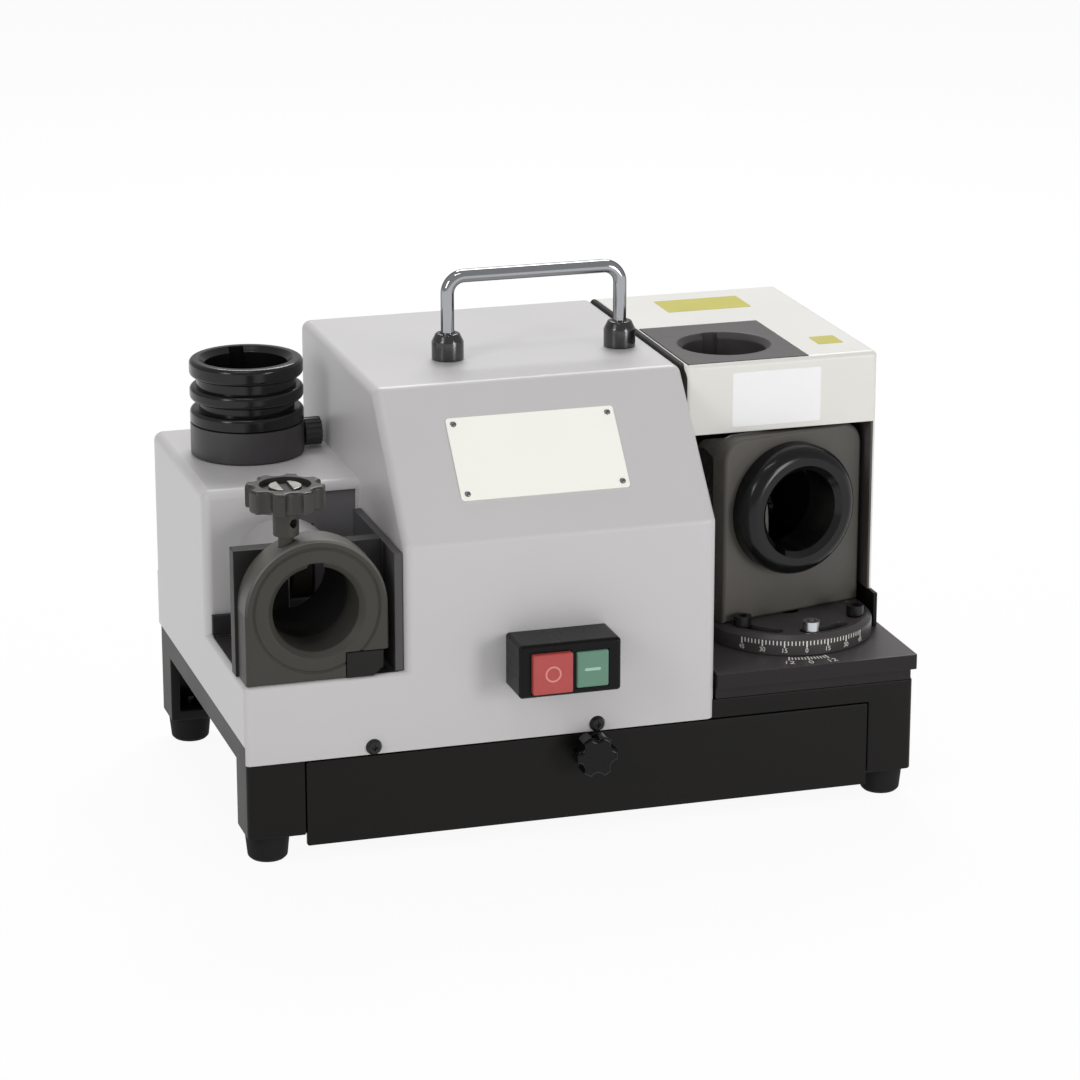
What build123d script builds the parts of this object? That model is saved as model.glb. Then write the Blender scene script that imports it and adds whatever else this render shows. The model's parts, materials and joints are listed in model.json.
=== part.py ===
from build123d import *

import os
from math import atan2, cos, degrees, radians, sin, sqrt

# Endmill grinder: a bench machine with three grinding stations round one motor spindle.
# Lengths are in millimetres, angles in degrees. X runs to the right, Y to the back, Z up from the bench.

# Fits shared by every piece
seat_gap = 0.3
fixed_clearance = 0.1
running_clearance = 0.05
overcut = 4.0

# Base frame and its feet
foot_height = 14.0
foot_top_radius = 11.5
foot_bottom_radius = 10.2
foot_edge = 1.6
foot_inset = 12.5
foot_recess_radius = 5.6
foot_recess_depth = 6.5
foot_screw_radius = 2.5
foot_screw_head_radius = 4.6
foot_screw_head_height = 3.2
foot_screw_end = 4.0
foot_pad_size = 25.0
foot_pad_thickness = 6.0
base_height = 50.0
base_inset = 1.0
base_wall = 5.0
base_corner_radius = 3.0
deck_thickness = 7.0
leg_depth = 25.0
left_leg_width = 30.0
right_leg_width = 25.0

# Chip tray, its runners and the chutes above it
tray_gap = 0.5
tray_bench_gap = 8.0
tray_panel_height = 45.0
tray_panel_thickness = 3.0
tray_panel_edge = 1.0
tray_floor_step = 3.0
tray_height = 33.0
tray_depth = 118.0
tray_wall = 2.0
tray_side_room = 10.0
tray_lip_width = 6.0
tray_lip_thickness = 2.0
runner_sheet = 2.0
tray_knob_inset = 149.0
tray_knob_height = 45.5
tray_knob_radius = 11.0
tray_knob_neck_radius = 5.5
tray_knob_neck_length = 6.0
tray_knob_head_length = 11.0
tray_knob_lobes = 6
tray_knob_scallop = 3.4
tray_knob_bite = 2.3
tray_knob_edge = 1.5
tray_knob_stud_radius = 2.5
chute_width = 30.0
chute_depth = 16.0

# Sheet cover: low step, left box and hump with a sloped front
cover_depth = 214.0
cover_wall = 2.0
cover_radius = 5.0
step_radius = 3.0
left_box_width = 83.0
left_box_setback = 88.5
left_box_height = 108.6
hump_width = 165.0
step_height = 32.2
crease_height = 97.6
slope_run = 59.2
roof_height = 164.3
apron_drop = 9.5
pocket_rim = 3.0
vent_count = 7
vent_pitch = 11.0
vent_length = 46.0
vent_width = 4.0
vent_height = 66.0
cover_screw_radius = 2.0
cover_screw_head_radius = 4.2
cover_screw_head_height = 2.4
cover_screw_length = 8.0
cover_screw_height = 5.5
cover_screw_offsets = (66.0, 184.0)

# Carrying handle
handle_right_room = 18.0
handle_setback = 107.0
handle_span = 94.0
handle_rise = 43.7
handle_rod_radius = 3.5
handle_bend_radius = 9.0
handle_stud = 10.0
ferrule_radius = 8.4
ferrule_top_radius = 6.2
ferrule_height = 14.0
ferrule_barrel = 9.5
handle_nut_across = 12.0
handle_nut_height = 5.0

# Nameplate on the slope
nameplate_inset = 78.5
nameplate_width = 89.0
nameplate_height = 46.5
nameplate_thickness = 0.8
nameplate_up_slope = 45.7
rivet_inset = 3.6
rivet_radius = 1.0
rivet_head_radius = 1.8
rivet_head_height = 0.8

# Start and stop switch
switch_inset = 79.2
switch_height = 34.2
switch_width = 53.5
switch_tall = 28.0
switch_depth = 24.0
switch_wall = 2.0
switch_face = 4.0
switch_edge = 2.0
button_gap = 0.35
button_drop = 1.0
button_travel = 3.0
button_edge = 1.0
button_collar = 1.2
button_collar_thickness = 2.0
stop_width = 21.0
stop_tall = 21.0
stop_proud = 3.2
stop_border = 6.2
start_width = 17.0
start_tall = 19.0
start_proud = 1.0
button_spacing = 2.4
switch_flange = 3.0
switch_inside = 26.0

# Right station: table, plinth and wheel cover
chamber_gap = 2.0
table_gap = 1.0
table_overhang = 3.0
table_thickness = 8.3
table_riser = 6.0
table_undercut = 2.5
table_edge = 1.0
plinth_wall = 2.5
plinth_height = 18.7
plinth_setback = 50.0
chamber_setback = 57.8
chamber_height = 131.0
chamber_skin = 1.8
chamber_radius = 3.0
lip_drop = 38.0
liner_sheet = 1.2
top_port_x = 35.0
top_port_setback = 39.2
top_port_width = 66.4
top_port_depth = 80.0
top_port_thickness = 14.0
top_port_flange = 4.0
top_port_collar_radius = 30.0
top_port_collar_drop = 10.0

# Swivelling front port
disc_radius = 45.0
disc_thickness = 10.8
disc_bevel = 2.5
disc_left_room = 14.0
disc_side_gap = 0.5
swivel_setback = 59.0
swivel_rest = 13.4
swivel_limit = 15.0
pivot_radius = 6.0
pivot_head_drop = 1.0
clamp_screw_reach = 36.3
clamp_screw_turns = (-60.3, 0.0, 60.3)
clamp_shank_radius = 3.0
clamp_slot_play = 0.4
clamp_slot_margin = 3.0
clamp_head_radius = 4.6
clamp_head_height = 5.0
clamp_socket_radius = 2.3
clamp_socket_depth = 2.5
port_plate_width = 86.0
port_plate_height = 99.1
port_plate_thickness = 12.0
port_plate_forward = 4.0
port_plate_corner = 12.0
port_plate_edge = 1.2
port_axis_rise = 59.1
port_axis_offset = 3.0
port_ring_radius = 35.0
port_ring_reach = 14.0
port_ring_rim = 6.0
port_ring_face = 29.0
port_ring_bulge = 2.0
port_spigot_radius = 27.0
plate_screw_spread = 28.0
plate_screw_radius = 2.5
plate_screw_head_radius = 4.5
plate_screw_head_height = 4.0
plate_screw_bite = 12.0

# Bore shared by every port, made for the same tool holder
port_bore_radius = 22.0
port_mouth = 3.0
keyway_width = 8.0
keyway_depth = 2.6
ring_key_turn = 215.0

# Left port block and its clamp
left_port_inset = 38.0
left_port_rise = 36.8
left_port_radius = 36.5
left_port_front_depth = 18.0
left_port_back_depth = 9.0
left_port_back_width = 76.0
left_port_back_height = 65.8
left_port_edge = 1.2
floor_thickness = 5.0
floor_leg_thickness = 4.0
floor_guard_height = 62.0
floor_guard_lap = 1.2
bush_radius = 31.5
bush_groove_width = 1.2
bush_groove_depth = 0.8
sleeve_radius = 27.0
sleeve_play = 0.5
sleeve_flange_radius = 31.0
sleeve_flange = 4.0
sleeve_wheel_room = 13.5
stop_block_width = 19.0
stop_block_height = 13.4
stop_block_depth = 10.0
stop_block_offset = 14.6
stop_block_chamfer = 5.0
block_screw_spread = 26.0
block_screw_setback = 20.0
block_screw_radius = 2.5
block_screw_head_radius = 4.5
block_screw_head_height = 3.5
block_screw_bite = 9.0
clamp_offset = 13.0
clamp_setback = 9.0
clamp_radius = 4.0
clamp_travel = 2.0
clamp_pad_length = 6.0
clamp_stem_radius = 6.5
tommy_hole_radius = 2.2
tommy_hole_turn = 28.0
clamp_knob_rise = 14.0
clamp_knob_radius = 19.8
clamp_knob_height = 12.0
clamp_knob_lobes = 8
clamp_knob_scallop = 5.2
clamp_knob_bite = 3.5
clamp_knob_edge = 1.5
clamp_knob_recess_radius = 13.0
clamp_knob_recess_depth = 3.0

# Wheel guard in the left box front
guard_width = 36.0
guard_strip = 2.0
guard_sheet = 4.0
guard_lap = 4.0
guard_wheel_room = 2.0

# Setting station on the left box
setting_inset = 40.0
setting_setback = 158.0
seat_radius = 30.0
seat_height = 17.4
seat_floor = 4.0
seat_hole_radius = 15.0
seat_bore_play = 0.5
seat_waist = 1.0
spigot_radius = 26.0
spigot_height = 6.0
collar_height = 33.7
collar_radius = 30.0
collar_neck_radius = 25.2
collar_upper_neck_radius = 26.4
collar_rim_height = 9.0
collar_bead_height = 7.4
collar_neck_height = 4.6
collar_edge = 2.4
collar_foot_edge = 0.6
thumb_rise = 8.4
thumb_shank_radius = 2.5
thumb_head_radius = 7.5
thumb_head_length = 9.0
thumb_grips = 16
thumb_grip_radius = 0.7
seat_screw_count = 3
seat_screw_circle_radius = 23.0
seat_screw_radius = 1.5
seat_screw_head_radius = 3.0
seat_screw_head_height = 2.0
seat_screw_bite = 2.5

# Motor and spindle
right_wheel_radius = 39.0
right_wheel_width = 22.0
right_wheel_inset = 32.0
right_wheel_edge = 4.0
wheel_swing_gap = 2.3
wheel_floor_gap = 1.6
left_wheel_radius = 28.0
left_wheel_width = 10.0
left_wheel_inset = 47.0
hub_spigot_radius = 10.0
hub_flange_radius = 18.0
hub_flange_width = 7.0
wheel_flange_width = 5.0
wheel_nut_across = 17.0
wheel_nut_height = 7.0
spindle_radius = 7.5
spindle_end_radius = 6.0
spindle_tail = 3.0
shaft_hole_radius = 16.0
stator_radius = 55.0
stator_bore_radius = 33.0
stator_length = 80.0
stator_inset = 77.0
air_gap = 0.6
rotor_length = 60.0
bell_rim = 8.0
bell_rim_wall = 8.0
bell_depth = 22.0
bell_boss = 26.0
bell_boss_radius = 24.0
bell_inside = 5.0
bearing_radius = 17.5
bearing_width = 11.0
bearing_start = 12.0
bell_hole_radius = 9.0
cradle_spacing = 46.0
cradle_thickness = 14.0
cradle_half_width = 38.0
cradle_wrap = 16.0
capacitor_radius = 14.0
capacitor_length = 70.0
capacitor_gap = 14.5
capacitor_setback = 22.0
terminal_side_room = 6.5
terminal_width = 35.0
terminal_depth = 20.0
terminal_height = 18.0
terminal_setback = 24.0
terminal_ways = 3
terminal_well_radius = 2.4
terminal_well_depth = 4.0

# Cord gland in the back skirt
gland_inset = 59.0
gland_height = 40.0
gland_bore_radius = 4.0
gland_thread_radius = 8.0
gland_hex_across = 20.0
gland_hex_height = 6.0
gland_cap_radius = 9.0
gland_cap_edge = 3.0
gland_reach = 18.0
gland_inside = 9.0
locknut_height = 4.0

# Places worked out from the dimensions above
chamber_width = disc_left_room + 2 * disc_radius + disc_side_gap + plinth_wall
machine_width = left_box_width + hump_width + chamber_gap + chamber_width + table_overhang
front_reach = switch_depth + stop_proud
rear_reach = gland_reach - base_inset
front_y = (front_reach - cover_depth - rear_reach) / 2
back_y = front_y + cover_depth
cover_left = -machine_width / 2
machine_right = machine_width / 2
hump_left = cover_left + left_box_width
hump_right = hump_left + hump_width

deck_top = foot_height + base_height
deck_bottom = deck_top - deck_thickness
step_top = deck_top + step_height
box_front = front_y + left_box_setback
box_top = deck_top + left_box_height
crease_z = deck_top + crease_height
roof_top = deck_top + roof_height
apron_bottom = deck_top - apron_drop
slope_angle = degrees(atan2(roof_top - crease_z, slope_run))
handle_x = hump_right - handle_right_room - handle_span / 2
nameplate_x = hump_left + nameplate_inset
switch_x = hump_left + switch_inset

base_left = cover_left + base_inset
base_right = machine_right - base_inset
base_front = front_y + cover_wall + seat_gap
base_back = back_y - base_inset
window_left = base_left + left_leg_width
window_right = base_right - right_leg_width
tray_panel_top = tray_bench_gap + tray_panel_height
tray_bottom = tray_bench_gap + tray_floor_step
tray_rim = tray_bottom + tray_height
tray_left = window_left + tray_side_room
tray_right = window_right - tray_side_room
tray_knob_x = window_left + tray_knob_inset
gland_x = base_left + gland_inset

chamber_left = hump_right + chamber_gap
chamber_right = chamber_left + chamber_width
chamber_front = front_y + chamber_setback
table_left = hump_right + table_gap
riser_top = deck_top + table_riser
table_top = riser_top + table_thickness
plinth_top = table_top + plinth_height
chamber_top = plinth_top + chamber_height
top_port = (chamber_left + top_port_x, chamber_front + top_port_setback)
top_plate_left = chamber_left + chamber_skin + seat_gap
top_plate_front = chamber_front + chamber_skin + seat_gap
top_plate_right = top_plate_left + top_port_width
top_plate_back = top_plate_front + top_port_depth

disc_bottom = table_top + seat_gap
disc_top = disc_bottom + disc_thickness
pivot_x = chamber_right - plinth_wall - disc_side_gap - disc_radius
pivot_y = front_y + swivel_setback
port_axis_z = disc_top + port_axis_rise
port_plate_back = port_plate_thickness - port_plate_forward

left_port_x = cover_left + left_port_inset
left_port_z = step_top + left_port_rise
clamp_x = left_port_x - clamp_offset
clamp_y = front_y + clamp_setback
clamp_tip = left_port_z + sqrt(port_bore_radius**2 - (clamp_offset - clamp_radius) ** 2) + seat_gap
block_crown = left_port_z + sqrt(left_port_radius**2 - (clamp_offset - clamp_stem_radius) ** 2)
stem_bottom = block_crown + clamp_travel + seat_gap
knob_bottom = stem_bottom + clamp_knob_rise
left_port_back = front_y + left_port_front_depth + left_port_back_depth
sleeve_length = box_front - sleeve_wheel_room - left_port_back

setting_x = cover_left + setting_inset
setting_y = front_y + setting_setback
seat_top = box_top + seat_height
collar_bottom = seat_top + seat_gap
thumb_z = box_top + thumb_rise

right_wheel_left = chamber_left + right_wheel_inset
right_wheel_right = right_wheel_left + right_wheel_width
left_wheel_left = cover_left + left_wheel_inset
left_wheel_right = left_wheel_left + left_wheel_width
swing_back = port_plate_back * cos(radians(swivel_limit))
swing_side = (pivot_x - right_wheel_left) * sin(radians(swivel_limit))
motor_y = pivot_y + swing_back + swing_side + wheel_swing_gap + right_wheel_radius
motor_z = disc_top + wheel_floor_gap + right_wheel_radius
stator_x = hump_left + stator_inset
stator_left = stator_x - stator_length / 2
stator_right = stator_x + stator_length / 2
terminal_x = hump_right - cover_wall - terminal_side_room - terminal_width / 2
capacitor_x = terminal_x - terminal_width / 2 - capacitor_gap - capacitor_length / 2

left_chute = (hump_left - pocket_rim - floor_leg_thickness - seat_gap - overcut - chute_width / 2,
              box_front - pocket_rim - seat_gap - overcut - chute_depth / 2)
right_chute = (right_wheel_left + right_wheel_width / 2, pivot_y + disc_radius + seat_gap + chute_depth / 2)

UP = (0, 0, 1)
DOWN = (0, 0, -1)
LEFT = (-1, 0, 0)
RIGHT = (1, 0, 0)
FORWARD = (0, -1, 0)
BACKWARD = (0, 1, 0)
ON_BASE = (Align.CENTER, Align.CENTER, Align.MIN)
FROM_CORNER = (Align.MIN, Align.MIN, Align.MIN)


def block(x0, x1, y0, y1, z0, z1):
    """A box from one corner to the opposite one."""
    return Pos(x0, y0, z0) * Box(x1 - x0, y1 - y0, z1 - z0, align=FROM_CORNER)


def rod(radius, length, origin, direction=UP):
    """A round bar that starts at a point and runs one way."""
    return Plane(origin=origin, z_dir=direction) * Cylinder(radius, length, align=ON_BASE)


def hexagon(across, length, origin, direction=UP):
    """A hexagonal bar, sized across its flats."""
    face = RegularPolygon(across / 2, 6, major_radius=False)
    return Plane(origin=origin, z_dir=direction) * extrude(face, amount=length)


def turned(points, origin, direction=UP):
    """A lathe form: points are (radius, height) pairs along the axis."""
    face = make_face(Polyline(*points, close=True))
    return Plane(origin=origin, z_dir=direction) * revolve(Plane.XZ * face, Axis.Z)


def lobed(radius, length, lobes, scallop, bite, edge):
    """A hand-knob head with scalloped sides, standing on the XY plane."""
    outline = Circle(radius) - PolarLocations(radius + scallop - bite, lobes) * Circle(scallop)
    head = extrude(outline, amount=length)
    ends = head.edges().filter_by(Plane.XY)
    return fillet(ends, edge)


def softened(solid, radius, floor, right=None):
    """Round every edge above the floor and, where given, left of a joining face."""
    tolerance = 0.01
    edges = [edge for edge in solid.edges() if edge.center().Z > floor + tolerance]
    if right is not None:
        edges = [edge for edge in edges if edge.center().X < right - tolerance]
    return fillet(edges, radius)


def upright_edges(solid):
    """The edges of a solid that run along Z."""
    return solid.edges().filter_by(Axis.Z)


def foot_places():
    """Centres of the four feet."""
    xs = (base_left + foot_inset, base_right - foot_inset)
    ys = (base_front + foot_inset, base_back - foot_inset)
    return [(x, y) for x in xs for y in ys]


def cover_screw_places():
    """Centres of the cover screws on the apron, as X values."""
    return [cover_left + offset_x for offset_x in cover_screw_offsets]


def keyway(reach):
    """Cutter for the keyway at the top of a bore that runs along Z from the XY plane."""
    width = keyway_width / 2
    return block(-width, width, 0, port_bore_radius + keyway_depth, -overcut, reach + overcut)


def port_bore(reach):
    """Cutter for a tool-holder bore with a chamfered mouth, reach long, its mouth on the XY plane."""
    mouth = port_bore_radius + port_mouth + overcut
    points = [
        (0, -overcut), (mouth, -overcut), (port_bore_radius, port_mouth),
        (port_bore_radius, reach + overcut), (0, reach + overcut),
    ]
    return turned(points, (0, 0, 0)) + keyway(reach)


def base_frame():
    """Deck with corner legs, closed back skirt, open side arches and a front window for the tray."""
    frame = block(base_left, base_right, base_front, base_back, foot_height, deck_top)
    frame = fillet(upright_edges(frame), base_corner_radius)
    low = foot_height - overcut
    inside = (base_left + base_wall, base_right - base_wall, base_front + base_wall, base_back - base_wall)
    frame -= block(*inside, low, deck_bottom)
    frame -= block(base_left - overcut, base_right + overcut,
                   base_front + leg_depth, base_back - leg_depth, low, deck_bottom)
    frame -= block(window_left, window_right, base_front - overcut, base_front + base_wall + overcut,
                   low, tray_panel_top + tray_gap)
    for x, y in foot_places():
        pad = Pos(x, y, foot_height) * Box(foot_pad_size, foot_pad_size, foot_pad_thickness, align=ON_BASE)
        within = block(base_left + base_wall / 2, base_right - base_wall / 2,
                       base_front + base_wall / 2, base_back - base_wall / 2, foot_height, deck_top)
        frame += pad & within
        frame -= rod(foot_screw_radius + fixed_clearance, foot_pad_thickness + 2 * overcut, (x, y, low))
    for x in cover_screw_places():
        start = (x, base_front - overcut, deck_top - cover_screw_height)
        frame -= rod(cover_screw_radius + fixed_clearance, base_wall + 2 * overcut, start, BACKWARD)
    for x, y in (left_chute, right_chute):
        frame -= Pos(x, y, deck_top) * Box(chute_width, chute_depth, 2 * (deck_thickness + overcut))
    start = (gland_x, base_back + overcut, gland_height)
    frame -= rod(gland_thread_radius + fixed_clearance, base_wall + 2 * overcut, start, FORWARD)
    return frame


def rubber_feet():
    """Four tapered rubber feet with a recess for the screw head."""
    hole = foot_screw_radius + fixed_clearance
    points = [
        (foot_recess_radius, 0), (foot_bottom_radius - foot_edge, 0), (foot_bottom_radius, foot_edge),
        (foot_top_radius, foot_height), (hole, foot_height), (hole, foot_recess_depth),
        (foot_recess_radius, foot_recess_depth),
    ]
    return Compound([turned(points, (x, y, 0)) for x, y in foot_places()])


def foot_screws():
    """Screws that hold the feet to the pads of the base."""
    head_bottom = foot_recess_depth - foot_screw_head_height
    top = foot_height + foot_pad_thickness + foot_screw_end
    points = [
        (0, head_bottom), (foot_screw_head_radius, head_bottom), (foot_screw_head_radius, foot_recess_depth),
        (foot_screw_radius, foot_recess_depth), (foot_screw_radius, top), (0, top),
    ]
    return Compound([turned(points, (x, y, 0)) for x, y in foot_places()])


def chip_tray():
    """Open sheet box with lips that ride on the runners, behind a flush front panel."""
    panel_back = base_front + tray_panel_thickness
    panel = block(window_left + tray_gap, window_right - tray_gap, base_front, panel_back,
                  tray_bench_gap, tray_panel_top)
    panel = fillet(panel.edges().filter_by(Axis.Y), tray_panel_edge)
    tray_back = base_front + tray_depth
    tray = block(tray_left, tray_right, panel_back, tray_back, tray_bottom, tray_rim)
    tray += block(tray_left - tray_lip_width, tray_right + tray_lip_width, panel_back, tray_back,
                  tray_rim - tray_lip_thickness, tray_rim)
    tray -= block(tray_left + tray_wall, tray_right - tray_wall, panel_back, tray_back - tray_wall,
                  tray_bottom + tray_wall, tray_rim + overcut)
    tray += panel
    stud_hole = (tray_knob_x, panel_back + overcut, tray_knob_height)
    stud_length = tray_panel_thickness + 2 * overcut
    return tray - rod(tray_knob_stud_radius + fixed_clearance, stud_length, stud_hole, FORWARD)


def tray_knob():
    """Scalloped pull knob with its neck and the stud through the tray panel."""
    neck_front = base_front - tray_knob_neck_length
    head = lobed(tray_knob_radius, tray_knob_head_length, tray_knob_lobes, tray_knob_scallop,
                 tray_knob_bite, tray_knob_edge)
    knob = Plane(origin=(tray_knob_x, neck_front, tray_knob_height), z_dir=FORWARD) * head
    neck_start = (tray_knob_x, base_front, tray_knob_height)
    knob += rod(tray_knob_neck_radius, tray_knob_neck_length, neck_start, FORWARD)
    stud_start = (tray_knob_x, base_front + tray_panel_thickness, tray_knob_height)
    knob += rod(tray_knob_stud_radius, tray_panel_thickness, stud_start, FORWARD)
    return knob


def tray_runner(lip_edge, body_side):
    """One angle rail: a web hung from the deck and a ledge under the tray lip."""
    inward = 1 if body_side > lip_edge else -1
    web_face = lip_edge - inward * seat_gap
    web_back = web_face - inward * runner_sheet
    ledge_end = body_side - inward * seat_gap
    ledge_top = tray_rim - tray_lip_thickness - seat_gap
    start = base_front + base_wall + seat_gap
    end = base_front + tray_depth
    ledge_low = ledge_top - runner_sheet
    web = block(min(web_face, web_back), max(web_face, web_back), start, end, ledge_low, deck_bottom)
    ledge = block(min(web_back, ledge_end), max(web_back, ledge_end), start, end, ledge_low, ledge_top)
    return web + ledge


def tray_runners():
    """The two rails that carry the tray."""
    left = tray_runner(tray_left - tray_lip_width, tray_left)
    right = tray_runner(tray_right + tray_lip_width, tray_right)
    return Compound([left, right])


def hump_profile(inset, floor):
    """Side profile of the hump, drawn as (Y, Z), moved inwards by the inset."""
    points = [
        (front_y, floor), (front_y, crease_z), (front_y + slope_run, roof_top),
        (back_y, roof_top), (back_y, floor),
    ]
    face = make_face(Polyline(*points, close=True))
    if inset > 0:
        face = offset(face, amount=-inset, kind=Kind.INTERSECTION)
    return face


def cover_form(inset, floor):
    """Outside of the sheet cover, or with an inset the space inside its sheet."""
    left = cover_left + inset
    back = back_y - inset
    join = hump_left + 2 * cover_radius
    step = block(left, join, front_y + inset, back, floor, step_top - inset)
    step = softened(step, step_radius - inset, floor, join)
    box = block(left, join, box_front + inset, back, floor, box_top - inset)
    box = softened(box, cover_radius - inset, floor, join)
    profile = Plane.YZ.offset(hump_left + inset) * hump_profile(inset, floor)
    hump = extrude(profile, amount=hump_width - 2 * inset)
    hump = softened(hump, cover_radius - inset, floor + inset)
    return step + box + hump


def slope_plane(x, up_slope):
    """A plane on the sloped front of the hump, with its X axis along the machine."""
    run = cos(radians(slope_angle))
    rise = sin(radians(slope_angle))
    origin = (x, front_y + up_slope * run, crease_z + up_slope * rise)
    return Plane(origin=origin, x_dir=RIGHT, z_dir=(0, -rise, run))


def rivet_places():
    """The corners of the nameplate that take rivets, in its own plane."""
    across = nameplate_width - 2 * rivet_inset
    upward = nameplate_height - 2 * rivet_inset
    return GridLocations(across, upward, 2, 2)


def handle_feet():
    """X values of the two ends of the handle."""
    return (handle_x - handle_span / 2, handle_x + handle_span / 2)


def switch_center_z():
    """Height of the middle of the switch."""
    return deck_top + switch_height


def main_cover():
    """Folded sheet cover in one piece, with its openings."""
    cover = cover_form(0, apron_bottom) - cover_form(cover_wall, apron_bottom - 2 * overcut)
    behind = front_y + cover_wall
    cover -= block(cover_left - overcut, hump_right + overcut, behind, back_y + overcut,
                   apron_bottom - overcut, deck_top)
    cover -= block(cover_left + pocket_rim, hump_left - pocket_rim,
                   front_y + pocket_rim, box_front - pocket_rim,
                   step_top - cover_wall - overcut, step_top + overcut)
    guard_right = hump_left - guard_strip
    cover -= block(guard_right - guard_width, guard_right,
                   box_front - overcut, box_front + cover_wall + overcut,
                   step_top + guard_strip, box_top - cover_radius)
    through = cover_wall + 2 * overcut
    under_box = box_top - cover_wall - overcut
    cover -= rod(seat_hole_radius, through, (setting_x, setting_y, under_box))
    for x, y in seat_screw_places():
        cover -= rod(seat_screw_radius + fixed_clearance, through, (x, y, under_box))
    body_width = switch_width - 2 * switch_wall - 2 * switch_flange
    body_tall = switch_tall - 2 * switch_wall - 2 * switch_flange
    cutout = Box(body_width + 2 * fixed_clearance, 2 * through, body_tall + 2 * fixed_clearance)
    cover -= Pos(switch_x, front_y, switch_center_z()) * cutout
    cover -= rod(shaft_hole_radius, through, (hump_right - cover_wall - overcut, motor_y, motor_z), RIGHT)
    for x in handle_feet():
        cover -= rod(handle_rod_radius + fixed_clearance, through,
                     (x, front_y + handle_setback, roof_top - cover_wall - overcut))
    rivet_hole = Cylinder(rivet_radius + fixed_clearance, 2 * through)
    for place in rivet_places():
        cover -= slope_plane(nameplate_x, nameplate_up_slope) * place * rivet_hole
    for x in cover_screw_places():
        cover -= rod(cover_screw_radius + fixed_clearance, through,
                     (x, front_y - overcut, deck_top - cover_screw_height), BACKWARD)
    slot = extrude(SlotOverall(vent_length, vent_width), amount=through)
    for index in range(vent_count):
        x = stator_x + (index - (vent_count - 1) / 2) * vent_pitch
        place = Plane(origin=(x, back_y + overcut, deck_top + vent_height), x_dir=UP, z_dir=FORWARD)
        cover -= place * slot
    return cover


def cover_screws():
    """Pan-head screws through the apron into the base."""
    crown = cover_screw_head_radius - cover_screw_head_height / 2
    points = [
        (0, -cover_screw_head_height), (crown, -cover_screw_head_height), (cover_screw_head_radius, 0),
        (cover_screw_radius, 0), (cover_screw_radius, cover_screw_length), (0, cover_screw_length),
    ]
    z = deck_top - cover_screw_height
    return Compound([turned(points, (x, front_y, z), BACKWARD) for x in cover_screw_places()])


def handle():
    """Bent round rod, threaded at both ends below the roof."""
    left, right = handle_feet()
    y = front_y + handle_setback
    low = roof_top - cover_wall - handle_stud
    high = roof_top + handle_rise
    path = FilletPolyline((left, y, low), (left, y, high), (right, y, high), (right, y, low),
                          radius=handle_bend_radius)
    section = Plane(origin=(left, y, low), z_dir=UP) * Circle(handle_rod_radius)
    return sweep(section, path=path)


def handle_ferrules():
    """Black collars round the feet of the handle."""
    hole = handle_rod_radius + fixed_clearance
    points = [
        (hole, 0), (ferrule_radius, 0), (ferrule_radius, ferrule_barrel),
        (ferrule_top_radius, ferrule_height), (hole, ferrule_height),
    ]
    y = front_y + handle_setback
    return Compound([turned(points, (x, y, roof_top)) for x in handle_feet()])


def handle_nuts():
    """Nuts that pull the handle down against the roof."""
    low = roof_top - cover_wall - handle_nut_height
    nuts = []
    for x in handle_feet():
        start = (x, front_y + handle_setback, low)
        bore = rod(handle_rod_radius + fixed_clearance, handle_nut_height, start)
        nuts.append(hexagon(handle_nut_across, handle_nut_height, start) - bore)
    return Compound(nuts)


def nameplate():
    """Plain plate riveted to the slope."""
    plate = Box(nameplate_width, nameplate_height, nameplate_thickness, align=ON_BASE)
    plate = fillet(upright_edges(plate), rivet_head_radius)
    hole = Cylinder(rivet_radius + fixed_clearance, 2 * (nameplate_thickness + overcut))
    plate -= [place * hole for place in rivet_places()]
    return slope_plane(nameplate_x, nameplate_up_slope) * plate


def nameplate_rivets():
    """Dome-headed rivets at the corners of the nameplate."""
    points = [
        (0, -cover_wall), (rivet_radius, -cover_wall), (rivet_radius, nameplate_thickness),
        (rivet_head_radius, nameplate_thickness),
        (rivet_radius, nameplate_thickness + rivet_head_height), (0, nameplate_thickness + rivet_head_height),
    ]
    rivet = turned(points, (0, 0, 0))
    plane = slope_plane(nameplate_x, nameplate_up_slope)
    return Compound([plane * place * rivet for place in rivet_places()])


def switch_buttons():
    """For the stop and start buttons: middle X, width, height and how far each stands proud."""
    stop_left = switch_x - switch_width / 2 + stop_border
    start_left = stop_left + stop_width + button_spacing
    stop = (stop_left + stop_width / 2, stop_width, stop_tall, stop_proud)
    start = (start_left + start_width / 2, start_width, start_tall, start_proud)
    return stop, start


def switch_bezel():
    """Hollow moulded housing of the switch, with a window for each button."""
    z = switch_center_z()
    half_tall = switch_tall / 2
    bezel = block(switch_x - switch_width / 2, switch_x + switch_width / 2, front_y - switch_depth, front_y,
                  z - half_tall, z + half_tall)
    front_edges = bezel.faces().sort_by(Axis.Y)[0].edges() + bezel.edges().filter_by(Axis.Y)
    bezel = fillet(front_edges, switch_edge)
    hollow_depth = switch_depth - switch_face
    hollow = Box(switch_width - 2 * switch_wall, hollow_depth + overcut, switch_tall - 2 * switch_wall)
    bezel -= Pos(switch_x, front_y - (hollow_depth - overcut) / 2, z) * hollow
    for x, width, tall, proud in switch_buttons():
        window = Box(width + 2 * button_gap, switch_face + 2 * overcut, tall + 2 * button_gap)
        bezel -= Pos(x, front_y - switch_depth, z - button_drop) * window
    return bezel


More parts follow.
